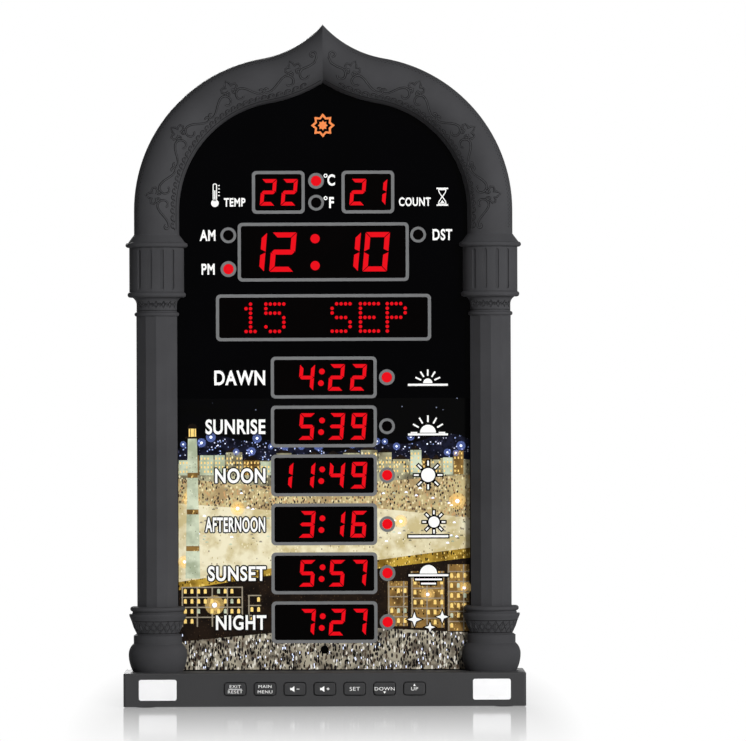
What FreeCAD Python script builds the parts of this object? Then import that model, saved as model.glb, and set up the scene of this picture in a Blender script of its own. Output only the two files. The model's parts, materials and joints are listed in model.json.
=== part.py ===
import FreeCAD, Part
import math
import operator
import os
import types

import Sketcher

# A wall and table clock: an ogee arch on two columns frames a black display panel.
# Lengths are in millimetres.  X is to the right, Y goes back and Z goes up.  The origin
# is below the middle of the base, on the surface that the rubber feet stand on.

SIZES = {
    # Whole clock
    "clock_depth": 45.0,
    "parting_plane": 4.0,
    "wall": 2.2,
    "fit_gap": 0.2,
    # Base
    "base_width": 240.0,
    "base_rise": 20.0,
    "base_corner": 1.5,
    "base_edge": 0.8,
    "base_top_wall": 2.5,
    "bottom_plate": 2.0,
    "boss_radius": 3.6,
    "cover_screw_inset": 30.0,
    "cover_screw_y": 15.0,
    # Rubber feet
    "foot_radius": 6.0,
    "foot_thickness": 1.5,
    "foot_proud": 0.6,
    "foot_inset": 13.0,
    "foot_y": 12.0,
    # Blank name plates
    "plate_width": 22.5,
    "plate_rise": 12.4,
    "plate_corner": 1.3,
    "plate_thickness": 0.8,
    "plate_proud": 0.3,
    "plate_inset": 20.5,
    # Buttons, their switches and the key board
    "button_pitch": 17.8,
    "button_width": 12.7,
    "button_rise": 7.4,
    "button_corner": 1.6,
    "button_gap": 0.5,
    "button_proud": 0.8,
    "button_travel": 0.8,
    "button_height": 11.1,
    "flange_lip": 1.0,
    "flange_thickness": 1.2,
    "switch_width": 6.0,
    "switch_depth": 3.5,
    "plunger_radius": 1.75,
    "plunger_gap": 0.1,
    "plunger_length": 2.1,
    "plunger_engaged": 1.1,
    "plunger_stop_gap": 0.3,
    "board_thickness": 1.6,
    "key_board_y": -11.0,
    "key_board_rise": 13.6,
    "key_board_margin": 3.4,
    # Columns
    "column_x": 100.0,
    "pedestal_rise": 39.0,
    "shaft_rise": 173.8,
    "capital_rise": 49.0,
    "shaft_half_width": 12.1,
    "shaft_front": 12.4,
    "shaft_facet_x": 6.3,
    "shaft_facet_y": 10.6,
    "shaft_edge_y": 4.5,
    "core_radius": 10.2,
    # Pedestal turning, heights above the base
    "torus_bottom_radius": 15.0,
    "torus_radius": 17.55,
    "torus_middle": 10.2,
    "torus_top": 16.8,
    "band_radius": 14.5,
    "band_top": 21.5,
    "cup_neck_radius": 12.7,
    "cup_neck_height": 22.7,
    "cup_radius": 17.1,
    "cup_height": 33.4,
    "cup_lip": 1.0,
    "rim_radius": 16.5,
    "rim_thickness": 3.0,
    "pedestal_floor": 7.0,
    # Capital turning, heights above the shaft
    "astragal_top": 2.6,
    "neck_radius": 12.1,
    "neck_top_radius": 14.6,
    "neck_top": 11.3,
    "ring_radius": 17.5,
    "ring_top": 14.6,
    "drum_radius": 16.4,
    "drum_top": 41.2,
    "crown_radius": 18.6,
    "crown_top": 44.2,
    "flute_width": 2.4,
    "flute_length": 24.0,
    "flute_depth": 0.9,
    "flute_pitch": 25.0,
    "flute_count": 4,
    # Arch: each side is a large arc, then a reverse arc up to the point
    "tube_radius": 13.5,
    "arch_leg": 14.3,
    "arch_radius": 92.45,
    "reverse_radius": 63.0,
    "lean_angle": 9.7,
    "arch_screw_angle": 45.0,
    # Panel and back cover, whose outlines follow the arch at an inset
    "panel_thickness": 2.0,
    "panel_inset": 22.5,
    "cover_inset": 3.4,
    "cover_edge": 2.0,
    "post_radius": 4.2,
    "post_counterbore": 3.4,
    "post_seat": 3.0,
    # Screws
    "screw_radius": 1.45,
    "screw_head_radius": 2.8,
    "screw_head": 1.8,
    "screw_length": 9.0,
    "flat_head": 0.9,
    "screw_tip_gap": 0.4,
    "screw_gap": 0.05,
    "low_screw_height": 92.0,
    "high_screw_height": 212.0,
    # Wall hanging keyholes
    "keyhole_x": 45.0,
    "keyhole_z": 336.0,
    "keyhole_radius": 4.5,
    "keyhole_shank": 1.9,
    "keyhole_rise": 10.0,
    # Speaker and its grille
    "speaker_z": 345.0,
    "speaker_radius": 19.0,
    "speaker_flange": 1.2,
    "speaker_wall": 0.9,
    "basket_depth": 8.6,
    "basket_neck": 10.4,
    "magnet_radius": 9.0,
    "magnet_depth": 3.6,
    "cone_radius": 15.2,
    "cone_neck": 5.4,
    "cone_depth": 5.4,
    "cone_paper": 0.6,
    "grille_slots": 7,
    "grille_pitch": 4.4,
    "grille_slot": 1.1,
    "grille_radius": 15.5,
    # Main board
    "module_gap": 0.3,
    "module_depth": 8.0,
    "board_half_width": 70.0,
    "board_bottom": 26.0,
    "board_top": 322.5,
    "standoff_x": 66.0,
    "standoff_margin": 14.825,
    "standoff_radius": 3.4,
    # Display modules behind the panel, centre heights
    "small_module_x": 26.9,
    "small_module_z": 307.8,
    "small_module_width": 28.0,
    "small_module_rise": 21.5,
    "time_module_z": 271.9,
    "time_module_width": 98.0,
    "time_module_rise": 31.0,
    "dot_module_z": 232.5,
    "dot_module_side": 21.6,
    "dot_module_gap": 0.1,
    "dot_module_count": 5,
    "row_module_z": 196.5,
    "row_module_width": 60.0,
    "row_module_rise": 21.5,
    "row_pitch": 29.4,
    "digit_well": 0.5,
    "digit_share": 0.8,
    # Indicator lamps
    "lamp_radius": 2.9,
    "lamp_edge": 0.8,
    "row_lamp_x": 37.9,
    "unit_lamp_x": -4.2,
    "unit_lamp_low": 301.5,
    "unit_lamp_high": 314.6,
    "noon_lamp_x": 57.0,
    "noon_lamp_low": 261.8,
    "noon_lamp_high": 282.1,
    # Remote receiver
    "receiver_z": 33.0,
    "receiver_width": 7.0,
    "receiver_dome": 2.4,
    # Parts on the back of the main board
    "cell_x": 45.0,
    "cell_z": 120.0,
    "cell_radius": 10.0,
    "cell_thickness": 3.2,
    "holder_wall": 1.6,
    "holder_floor": 0.4,
    "holder_rise": 2.8,
    "chip_thickness": 2.0,
    "thermistor_x": 50.0,
    "thermistor_z": 40.0,
    "thermistor_radius": 1.4,
    "thermistor_length": 3.0,
    # Power inlet
    "jack_x": 62.0,
    "jack_height": 10.6,
    "jack_width": 9.0,
    "jack_depth": 11.0,
    "jack_nose_radius": 4.0,
    "jack_bore": 2.9,
    "jack_bore_depth": 9.5,
    "jack_pin": 1.0,
    "jack_pin_length": 8.5,
    # Leads
    "ribbon_width": 12.0,
    "ribbon_thickness": 0.8,
    "ribbon_height": 9.0,
    "ribbon_end": 34.0,
    "ribbon_bend": 0.8,
    "lead_radius": 0.6,
    "lead_half_pitch": 2.0,
    "lead_bend": 1.2,
}

BUTTONS = ("exit", "menu", "volume_down", "volume_up", "set", "down", "up")
ROWS = ("dawn", "sunrise", "noon", "afternoon", "sunset", "night")
SIDES = (("left", -1), ("right", 1))
CLOCKWISE = -1
ANTICLOCKWISE = 1


class Formula:
    """A number together with the sheet formula that it comes from."""

    def __init__(self, text, number):
        self.text = text
        self.number = float(number)

    def __float__(self):
        return self.number

    def __neg__(self):
        return joined(-1, "*", self)

    def __add__(self, other):
        return joined(self, "+", other)

    def __radd__(self, other):
        return joined(other, "+", self)

    def __sub__(self, other):
        return joined(self, "-", other)

    def __rsub__(self, other):
        return joined(other, "-", self)

    def __mul__(self, other):
        return joined(self, "*", other)

    def __rmul__(self, other):
        return joined(other, "*", self)

    def __truediv__(self, other):
        return joined(self, "/", other)


OPERATIONS = {"+": operator.add, "-": operator.sub, "*": operator.mul, "/": operator.truediv}


def as_formula(value):
    if isinstance(value, Formula):
        return value
    return Formula(f"({value})", value)


def joined(left, sign, right):
    left = as_formula(left)
    right = as_formula(right)
    number = OPERATIONS[sign](left.number, right.number)
    return Formula(f"({left.text} {sign} {right.text})", number)


def sine(angle):
    angle = as_formula(angle)
    return Formula(f"sin({angle.text} * 1deg)", math.sin(math.radians(angle.number)))


def cosine(angle):
    angle = as_formula(angle)
    return Formula(f"cos({angle.text} * 1deg)", math.cos(math.radians(angle.number)))


def square_root(value):
    return Formula(f"sqrt({value.text})", math.sqrt(value.number))


def make_sheet():
    """Put every driving size in the spreadsheet and return them as formulas."""
    table = doc.addObject("Spreadsheet::Sheet", "Sizes")
    sizes = types.SimpleNamespace()
    for row, (name, value) in enumerate(SIZES.items(), start=1):
        table.set(f"A{row}", name)
        table.set(f"B{row}", str(value))
        table.setAlias(f"B{row}", name)
        setattr(sizes, name, Formula(f"Sizes.{name}", value))
    doc.recompute()
    return sizes


def bind(thing, path, value):
    """Tie one property to its formula."""
    thing.setExpression(path, as_formula(value).text)


def place(piece, x=0, y=0, z=0):
    for axis, value in (("x", x), ("y", y), ("z", z)):
        bind(piece, f"Placement.Base.{axis}", value)


def new_body(label):
    body = doc.addObject("PartDesign::Body", label)
    body.Label = label
    parts.append(body)
    return body


def origin_feature(body, role):
    return next(feature for feature in body.Origin.OriginFeatures if feature.Role == role)


def new_sketch(body, role, name, x=0, y=0, away=0):
    """A sketch on one of the body's own planes, moved by x, y and along the normal."""
    sketch = body.newObject("Sketcher::SketchObject", name)
    sketch.AttachmentSupport = [(origin_feature(body, role), "")]
    sketch.MapMode = "FlatFace"
    for axis, value in (("x", x), ("y", y), ("z", away)):
        bind(sketch, f"AttachmentOffset.Base.{axis}", value)
    return sketch


def front_sketch(body, name, depth):
    """A sketch that faces the front, at Y = depth; its own x and y are X and Z."""
    return new_sketch(body, "XZ_Plane", name, away=-1 * as_formula(depth))


def level_sketch(body, name, height=0):
    """A level sketch at Z = height; its own x and y are X and Y."""
    return new_sketch(body, "XY_Plane", name, away=height)


def side_sketch(body, name, reach=0):
    """A sketch seen from the right, at X = reach; its own x and y are Y and Z."""
    return new_sketch(body, "YZ_Plane", name, away=reach)


def flat(x, y):
    return FreeCAD.Vector(float(x), float(y), 0)


def fix(sketch, kind, piece, vertex, value):
    """Hold one coordinate of a sketch point."""
    number = sketch.addConstraint(Sketcher.Constraint(kind, -1, 1, piece, vertex, float(value)))
    if isinstance(value, Formula):
        bind(sketch, f"Constraints[{number}]", value)


def arc_between(start, end, centre, turn):
    first, last = (start, end) if turn == ANTICLOCKWISE else (end, start)
    ray_first = first - centre
    ray_last = last - centre
    low = math.atan2(ray_first.y, ray_first.x)
    high = math.atan2(ray_last.y, ray_last.x)
    if high <= low:
        high += 2 * math.pi
    circle = Part.Circle(centre, FreeCAD.Vector(0, 0, 1), ray_first.Length)
    return Part.ArcOfCircle(circle, low, high)


def outline(sketch, points):
    """Draw a closed outline.

    A point (x, y) is reached by a line and (x, y, centre x, centre y, turn) by an arc.
    """
    pieces = []
    for index, point in enumerate(points):
        start = flat(*points[index - 1][:2])
        end = flat(*point[:2])
        turn = ANTICLOCKWISE
        if len(point) == 2:
            geometry = Part.LineSegment(start, end)
        else:
            turn = point[4]
            geometry = arc_between(start, end, flat(*point[2:4]), turn)
        number = sketch.addGeometry(geometry, False)
        first, last = (1, 2) if turn == ANTICLOCKWISE else (2, 1)
        pieces.append((number, first, last))
    for index, (number, first, last) in enumerate(pieces):
        before = pieces[index - 1]
        sketch.addConstraint(Sketcher.Constraint("Coincident", before[0], before[2], number, first))
    for index, (number, first, last) in enumerate(pieces):
        point = points[index]
        fix(sketch, "DistanceX", number, last, point[0])
        fix(sketch, "DistanceY", number, last, point[1])
        if len(point) > 2:
            chord = flat(*point[:2]) - flat(*points[index - 1][:2])
            if abs(chord.y) > abs(chord.x):
                fix(sketch, "DistanceX", number, 3, point[2])
            else:
                fix(sketch, "DistanceY", number, 3, point[3])


def circles(sketch, places, radius):
    for x, y in places:
        number = sketch.addGeometry(
            Part.Circle(flat(x, y), FreeCAD.Vector(0, 0, 1), float(radius)), False)
        fix(sketch, "DistanceX", number, 3, x)
        fix(sketch, "DistanceY", number, 3, y)
        held = sketch.addConstraint(Sketcher.Constraint("Radius", number, float(radius)))
        bind(sketch, f"Constraints[{held}]", radius)


def rectangle(sketch, left, right, bottom, top):
    outline(sketch, [(left, bottom), (right, bottom), (right, top), (left, top)])


def rounded_rectangle(sketch, x, y, width, rise, corner):
    left = x - width / 2
    right = x + width / 2
    bottom = y - rise / 2
    top = y + rise / 2
    turn = ANTICLOCKWISE
    outline(sketch, [
        (right - corner, bottom),
        (right, bottom + corner, right - corner, bottom + corner, turn),
        (right, top - corner),
        (right - corner, top, right - corner, top - corner, turn),
        (left + corner, top),
        (left, top - corner, left + corner, top - corner, turn),
        (left, bottom + corner),
        (left + corner, bottom, left + corner, bottom + corner, turn),
    ])


def upright_slot(sketch, x, low, high, radius):
    """A round-ended slot between two centres, one above the other."""
    outline(sketch, [
        (x - radius, low),
        (x + radius, low, x, low, ANTICLOCKWISE),
        (x + radius, high),
        (x - radius, high, x, high, ANTICLOCKWISE),
    ])


def level_slot(sketch, y, half_length, radius):
    """A round-ended slot along x, with its middle on x = 0."""
    outline(sketch, [
        (half_length, y - radius),
        (half_length, y + radius, half_length, y, ANTICLOCKWISE),
        (-half_length, y + radius),
        (-half_length, y - radius, -half_length, y, ANTICLOCKWISE),
    ])


def ogee_outline(sketch, inset, bottom):
    """The outline of the arch and its straight sides, drawn in by an inset."""
    big = s.arch_radius - inset
    small = s.reverse_radius + inset
    side = arch_x + big
    turn_x = arch_x + big * sine(s.lean_angle)
    turn_z = arch_z + big * cosine(s.lean_angle)
    point_z = reverse_z - square_root(small * small - reverse_x * reverse_x)
    outline(sketch, [
        (-side, bottom),
        (side, bottom),
        (side, arch_z),
        (turn_x, turn_z, arch_x, arch_z, ANTICLOCKWISE),
        (0, point_z, reverse_x, reverse_z, CLOCKWISE),
        (-turn_x, turn_z, -reverse_x, reverse_z, CLOCKWISE),
        (-side, arch_z, -arch_x, arch_z, ANTICLOCKWISE),
    ])


def feature(body, kind, sketch, length, reverse=False):
    piece = body.newObject(f"PartDesign::{kind}", f"{kind.lower()}_{sketch.Name}")
    piece.Profile = sketch
    bind(piece, "Length", length)
    piece.Reversed = reverse
    return piece


def pad(body, sketch, length, reverse=False):
    """Add material along the sketch's normal, or against it."""
    return feature(body, "Pad", sketch, length, reverse)


def pocket(body, sketch, length, reverse=False):
    """Cut against the sketch's normal, or along it, and check that it cuts."""
    doc.recompute()
    before = body.Tip.Shape.Volume
    piece = feature(body, "Pocket", sketch, length, reverse)
    doc.recompute()
    if piece.Shape.isNull() or piece.Shape.Volume >= before - 0.01:
        raise RuntimeError(f"{piece.Name} in {body.Label} cuts nothing")
    return piece


def revolve(body, sketch, axis="V_Axis", angle=360, reverse=False):
    piece = body.newObject("PartDesign::Revolution", f"turn_{sketch.Name}")
    piece.Profile = sketch
    piece.ReferenceAxis = (sketch, [axis])
    bind(piece, "Angle", angle)
    piece.Reversed = reverse
    return piece


def edge_names(body, wanted):
    """The names of the edges of the body's last feature that a test accepts."""
    doc.recompute()
    names = []
    for index, edge in enumerate(body.Tip.Shape.Edges, start=1):
        if wanted(edge):
            names.append(f"Edge{index}")
    return names


def dress(body, kind, size, wanted):
    """Fillet or chamfer the edges that a test accepts."""
    names = edge_names(body, wanted)
    if not names:
        raise RuntimeError(f"no edges to dress in {body.Label}")
    base = body.Tip
    piece = body.newObject(f"PartDesign::{kind}", f"{kind.lower()}_{body.Name}")
    piece.Base = (base, names)
    bind(piece, "Radius" if kind == "Fillet" else "Size", size)
    return piece


def edges_at_height(height):
    return lambda edge: all(abs(point.Point.z - float(height)) < 1e-4 for point in edge.Vertexes)


def edges_at_depth(depth):
    return lambda edge: all(abs(point.Point.y - float(depth)) < 1e-4 for point in edge.Vertexes)


def cylinder_to_back(label, x, z, low, high, radius):
    """A cylinder along Y from one depth to another."""
    piece = doc.addObject("Part::Cylinder", label)
    bind(piece, "Radius", radius)
    bind(piece, "Height", high - low)
    piece.Placement = FreeCAD.Placement(
        FreeCAD.Vector(), FreeCAD.Rotation(FreeCAD.Vector(1, 0, 0), -90))
    place(piece, x, low, z)
    return piece


def box_between(label, x, y, z):
    """A box between three pairs of faces."""
    piece = doc.addObject("Part::Box", label)
    for name, (low, high) in (("Length", x), ("Width", y), ("Height", z)):
        bind(piece, name, high - low)
    place(piece, x[0], y[0], z[0])
    return piece


def group(label, members):
    piece = doc.addObject("Part::Compound", label)
    piece.Label = label
    piece.Links = members
    parts.append(piece)
    return piece


def trim_back(body, low, high, reach):
    """Cut a turned moulding flat at the parting plane."""
    sketch = side_sketch(body, f"back_of_{body.Name}", -1 * reach)
    rectangle(sketch, s.parting_plane, s.parting_plane + 2 * reach, low, high)
    pocket(body, sketch, 2 * reach, reverse=True)


def tube_section(sketch, centre):
    """The arch's moulding: a half-round channel that is open to the back."""
    outer = s.tube_radius
    inner = s.tube_radius - s.wall
    back = s.parting_plane
    outline(sketch, [
        (centre - outer, back),
        (centre - outer, 0),
        (centre + outer, 0, centre, 0, ANTICLOCKWISE),
        (centre + outer, back),
        (centre + inner, back),
        (centre + inner, 0),
        (centre - inner, 0, centre, 0, CLOCKWISE),
        (centre - inner, back),
    ])


def make_arch_frame():
    """Half of the arch is a leg, a large arc and a reverse arc, then it is mirrored."""
    body = new_body("arch_frame")
    axis = s.arch_radius - s.tube_radius
    leg = new_sketch(body, "XY_Plane", "arch_leg_section", x=arch_x, away=arch_spring)
    tube_section(leg, axis)
    pad(body, leg, s.arch_leg)
    large = new_sketch(body, "XY_Plane", "arch_section", x=arch_x, away=arch_z)
    tube_section(large, axis)
    revolve(body, large, angle=90 - s.lean_angle, reverse=True)
    small = new_sketch(body, "XY_Plane", "reverse_section", x=reverse_x, away=reverse_z)
    small.AttachmentOffset = FreeCAD.Placement(
        small.AttachmentOffset.Base, FreeCAD.Rotation(FreeCAD.Vector(0, 1, 0), 100))
    bind(small, "AttachmentOffset.Rotation.Angle", 90 + s.lean_angle)
    tube_section(small, s.reverse_radius + s.tube_radius)
    revolve(body, small, angle=90 - s.lean_angle - s.lean_angle * 3)
    past = side_sketch(body, "past_the_middle")
    rectangle(past, -2 * s.tube_radius, 2 * s.tube_radius, arch_z, reverse_z)
    pocket(body, past, s.arch_radius)
    boss = front_sketch(body, "arch_boss", s.parting_plane)
    circles(boss, [(arch_screw_x, arch_screw_z)], s.post_radius)
    pad(body, boss, s.parting_plane + s.tube_radius - s.wall)
    pilot = front_sketch(body, "arch_pilot", s.parting_plane)
    circles(pilot, [(arch_screw_x, arch_screw_z)], pilot_radius)
    pocket(body, pilot, s.screw_length, reverse=True)
    mirror = body.newObject("PartDesign::Mirrored", "other_half")
    mirror.MirrorPlane = (origin_feature(body, "YZ_Plane"), [""])
    mirror.TransformMode = "Whole shape"
    body.Tip = mirror


def make_capital(side, sign):
    """A turned and fluted capital, hollow behind, between the shaft and the arch."""
    body = new_body(f"capital_{side}")
    profile = new_sketch(body, "XZ_Plane", f"capital_profile_{side}")
    mid_astragal = s.astragal_top / 2
    neck_mid = (s.astragal_top + s.neck_top) / 2
    outline(profile, [
        (s.core_radius, 0),
        (s.neck_radius, 0),
        (s.neck_radius, s.astragal_top, s.neck_radius, mid_astragal, ANTICLOCKWISE),
        (s.neck_radius, neck_mid),
        (s.neck_top_radius, s.neck_top, s.neck_radius + neck_arc, neck_mid, CLOCKWISE),
        (s.ring_radius - ring_round, s.neck_top),
        (s.ring_radius - ring_round, s.ring_top,
         s.ring_radius - ring_round, s.neck_top + ring_round, ANTICLOCKWISE),
        (s.drum_radius, s.ring_top),
        (s.drum_radius, s.drum_top),
        (s.crown_radius - crown_round, s.drum_top),
        (s.crown_radius - crown_round, s.crown_top,
         s.crown_radius - crown_round, s.drum_top + crown_round, ANTICLOCKWISE),
        (s.tube_radius, s.capital_rise),
        (s.core_radius, s.capital_rise),
    ])
    revolve(body, profile)
    middle = (s.ring_top + s.drum_top) / 2
    straight = (s.flute_length - s.flute_width) / 2
    first = -1 * s.flute_pitch * (s.flute_count - 1) / 2
    flute = new_sketch(body, "XZ_Plane", f"flute_{side}",
                       x=s.drum_radius * sine(first), away=s.drum_radius * cosine(first))
    flute.AttachmentOffset = FreeCAD.Placement(
        flute.AttachmentOffset.Base, FreeCAD.Rotation(FreeCAD.Vector(0, 1, 0), 300))
    bind(flute, "AttachmentOffset.Rotation.Angle", 360 + first)
    upright_slot(flute, 0, middle - straight, middle + straight, s.flute_width / 2)
    cut = pocket(body, flute, s.flute_depth)
    pattern = body.newObject("PartDesign::PolarPattern", f"flutes_{side}")
    pattern.Originals = [cut]
    pattern.Axis = (origin_feature(body, "Z_Axis"), [""])
    bind(pattern, "Angle", s.flute_pitch * (s.flute_count - 1))
    bind(pattern, "Occurrences", s.flute_count)
    body.Tip = pattern
    trim_back(body, -1 * s.wall, s.capital_rise + s.wall, s.crown_radius)
    place(body, sign * s.column_x, 0, shaft_top)


def make_shaft(side, sign):
    """A faceted column shaft, a channel with two screw bosses."""
    body = new_body(f"column_shaft_{side}")
    section = level_sketch(body, f"shaft_section_{side}")
    inner = (s.shaft_half_width - s.wall) / s.shaft_half_width
    front = [
        (s.shaft_half_width, -1 * s.shaft_edge_y),
        (s.shaft_facet_x, -1 * s.shaft_facet_y),
        (as_formula(0), -1 * s.shaft_front),
        (-1 * s.shaft_facet_x, -1 * s.shaft_facet_y),
        (-1 * s.shaft_half_width, -1 * s.shaft_edge_y),
    ]
    inside = [(x * inner, y * inner) for x, y in reversed(front)]
    outline(section, [
        (s.shaft_half_width, s.parting_plane),
        *front,
        (-1 * s.shaft_half_width, s.parting_plane),
        (-1 * s.shaft_half_width * inner, s.parting_plane),
        *inside,
        (s.shaft_half_width * inner, s.parting_plane),
    ])
    pad(body, section, s.shaft_rise)
    heights = [s.low_screw_height - shaft_bottom, s.high_screw_height - shaft_bottom]
    boss = front_sketch(body, f"shaft_bosses_{side}", s.parting_plane)
    circles(boss, [(0, height) for height in heights], s.post_radius)
    pad(body, boss, s.parting_plane + s.shaft_front - s.wall)
    pilot = front_sketch(body, f"shaft_pilots_{side}", s.parting_plane)
    circles(pilot, [(0, height) for height in heights], pilot_radius)
    pocket(body, pilot, s.screw_length, reverse=True)
    place(body, sign * s.column_x, 0, shaft_bottom)


def make_pedestal(side, sign):
    """A turned pedestal: torus, band, flaring cup and rim, screwed on from below."""
    body = new_body(f"pedestal_{side}")
    profile = new_sketch(body, "XZ_Plane", f"pedestal_profile_{side}")
    outline(profile, [
        (0, 0),
        (s.torus_bottom_radius, 0),
        (s.torus_radius, s.torus_middle, low_torus_x, s.torus_middle, ANTICLOCKWISE),
        (s.band_radius, s.torus_top, high_torus_x, s.torus_middle, ANTICLOCKWISE),
        (s.band_radius, s.band_top),
        (s.cup_neck_radius, s.cup_neck_height),
        (s.cup_radius, s.cup_height),
        (s.cup_radius, s.cup_height + s.cup_lip),
        (s.rim_radius - s.cup_lip, s.cup_height + s.cup_lip),
        (s.rim_radius - rim_round, s.pedestal_rise - s.rim_thickness),
        (s.rim_radius - rim_round, s.pedestal_rise,
         s.rim_radius - rim_round, s.pedestal_rise - rim_round, ANTICLOCKWISE),
        (s.core_radius, s.pedestal_rise),
        (s.core_radius, s.pedestal_floor),
        (0, s.pedestal_floor),
    ])
    revolve(body, profile)
    trim_back(body, -1 * s.wall, s.pedestal_rise + s.wall, s.torus_radius)
    pilot = level_sketch(body, f"pedestal_pilot_{side}")
    circles(pilot, [(0, 0)], pilot_radius)
    pocket(body, pilot, s.pedestal_floor, reverse=True)
    place(body, sign * s.column_x, 0, base_top)


def make_base_housing():
    """The base, open below, with button windows, plate recesses and cable holes."""
    body = new_body("base_housing")
    middle_y = (base_front + base_back) / 2
    depth = base_back - base_front
    block = level_sketch(body, "base_block", s.foot_proud)
    rounded_rectangle(block, as_formula(0), middle_y, s.base_width, depth, s.base_corner)
    pad(body, block, s.base_rise)
    dress(body, "Fillet", s.base_edge, edges_at_height(base_top))
    hollow = level_sketch(body, "base_hollow", s.foot_proud)
    rectangle(hollow, -1 * base_inside_x, base_inside_x, base_front + s.wall, base_back - s.wall)
    pocket(body, hollow, s.base_rise - s.base_top_wall, reverse=True)
    bosses = level_sketch(body, "base_bosses", base_floor)
    circles(bosses, cover_screws, s.boss_radius)
    pad(body, bosses, base_top - s.base_top_wall - base_floor)
    pilots = level_sketch(body, "base_pilots", base_floor)
    circles(pilots, cover_screws, pilot_radius)
    pocket(body, pilots, s.screw_length, reverse=True)
    windows = front_sketch(body, "button_windows", base_front)
    for x in button_places:
        rounded_rectangle(windows, x, s.button_height, s.button_width + 2 * s.button_gap,
                          s.button_rise + 2 * s.button_gap, s.button_corner + s.button_gap)
    pocket(body, windows, s.wall)
    recesses = front_sketch(body, "plate_recesses", base_front)
    for sign in (-1, 1):
        rounded_rectangle(recesses, sign * plate_x, s.foot_proud + s.base_rise / 2,
                          s.plate_width + s.fit_gap, s.plate_rise + s.fit_gap, s.plate_corner)
    pocket(body, recesses, s.plate_thickness - s.plate_proud)
    holes = level_sketch(body, "column_screw_holes", base_top)
    circles(holes, [(sign * s.column_x, 0) for sign in (-1, 1)], clear_radius)
    pocket(body, holes, s.base_top_wall)
    slot = level_sketch(body, "ribbon_slot", base_top)
    rectangle(slot, -1 * s.ribbon_width / 2 - 2 * s.fit_gap, s.ribbon_width / 2 + 2 * s.fit_gap,
              ribbon_y - 2 * s.fit_gap, ribbon_y + s.ribbon_thickness + 2 * s.fit_gap)
    pocket(body, slot, s.base_top_wall)
    inlet = front_sketch(body, "inlet_hole", base_back)
    circles(inlet, [(s.jack_x, s.jack_height)], s.jack_nose_radius + s.fit_gap)
    pocket(body, inlet, s.wall, reverse=True)


def make_bottom_cover():
    """The plate that closes the base, with sunk screw seats and foot recesses."""
    body = new_body("base_bottom_cover")
    edge = level_sketch(body, "bottom_outline", s.foot_proud)
    rectangle(edge, s.fit_gap - base_inside_x, base_inside_x - s.fit_gap,
              base_front + s.wall + s.fit_gap, base_back - s.wall - s.fit_gap)
    pad(body, edge, s.bottom_plate)
    through = level_sketch(body, "bottom_holes", s.foot_proud)
    circles(through, cover_screws, clear_radius)
    pocket(body, through, s.bottom_plate, reverse=True)
    seats = level_sketch(body, "bottom_seats", s.foot_proud)
    circles(seats, cover_screws, s.screw_head_radius + s.fit_gap)
    pocket(body, seats, bottom_seat, reverse=True)
    recesses = level_sketch(body, "foot_recesses", s.foot_proud)
    circles(recesses, feet, s.foot_radius + s.fit_gap / 2)
    pocket(body, recesses, s.foot_thickness - s.foot_proud, reverse=True)


def make_feet():
    """Four rubber discs, glued into the bottom cover."""
    body = new_body("rubber_feet")
    discs = level_sketch(body, "foot_discs")
    circles(discs, feet, s.foot_radius)
    pad(body, discs, s.foot_thickness)
    dress(body, "Chamfer", s.foot_proud / 2, edges_at_height(0))


def make_name_plate(side, sign):
    """A blank plate, stuck in its recess in the front of the base."""
    body = new_body(f"name_plate_{side}")
    face = front_sketch(body, f"plate_{side}", base_front - s.plate_proud)
    rounded_rectangle(face, sign * plate_x, s.foot_proud + s.base_rise / 2,
                      s.plate_width, s.plate_rise, s.plate_corner)
    pad(body, face, s.plate_thickness, reverse=True)


def make_button(name, x):
    """A cap that passes the window, a flange that holds it in and a stem behind."""
    body = new_body(f"button_{name}")
    cap = front_sketch(body, f"cap_{name}", clock_front)
    rounded_rectangle(cap, as_formula(0), as_formula(0), s.button_width, s.button_rise, s.button_corner)
    pad(body, cap, flange_front - clock_front, reverse=True)
    dress(body, "Fillet", s.button_gap, edges_at_depth(clock_front))
    flange = front_sketch(body, f"flange_{name}", flange_front)
    rounded_rectangle(flange, as_formula(0), as_formula(0), s.button_width + 2 * s.flange_lip,
                      s.button_rise + 2 * s.flange_lip, s.button_corner)
    pad(body, flange, s.flange_thickness, reverse=True)
    stem = front_sketch(body, f"stem_{name}", flange_front + s.flange_thickness)
    circles(stem, [(0, 0)], s.plunger_radius)
    pad(body, stem, plunger_front - flange_front - s.flange_thickness, reverse=True)
    place(body, x, 0, s.button_height)


def make_plunger(name, x):
    """The moving plunger of a push switch, on the end of the button's stem."""
    body = new_body(f"switch_plunger_{name}")
    disc = front_sketch(body, f"plunger_{name}", plunger_front)
    circles(disc, [(0, 0)], s.plunger_radius)
    pad(body, disc, s.plunger_length, reverse=True)
    place(body, x, 0, s.button_height)


def make_key_board():
    """The board behind the buttons, and the seven push switches on it."""
    body = new_body("key_board")
    face = front_sketch(body, "key_board_face", s.key_board_y)
    reach = button_places[-1] + s.button_width / 2 + s.key_board_margin
    rectangle(face, -1 * reach, reach, base_floor + s.fit_gap,
              base_floor + s.fit_gap + s.key_board_rise)
    pad(body, face, s.board_thickness, reverse=True)
    switches = new_body("tact_switches")
    cases = front_sketch(switches, "switch_cases", switch_front)
    for x in button_places:
        rectangle(cases, x - s.switch_width / 2, x + s.switch_width / 2,
                  s.button_height - s.switch_width / 2, s.button_height + s.switch_width / 2)
    pad(switches, cases, s.switch_depth, reverse=True)
    wells = front_sketch(switches, "switch_wells", switch_front)
    circles(wells, [(x, s.button_height) for x in button_places],
            s.plunger_radius + s.plunger_gap)
    pocket(switches, wells, s.plunger_engaged + s.button_travel + s.plunger_stop_gap)


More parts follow.
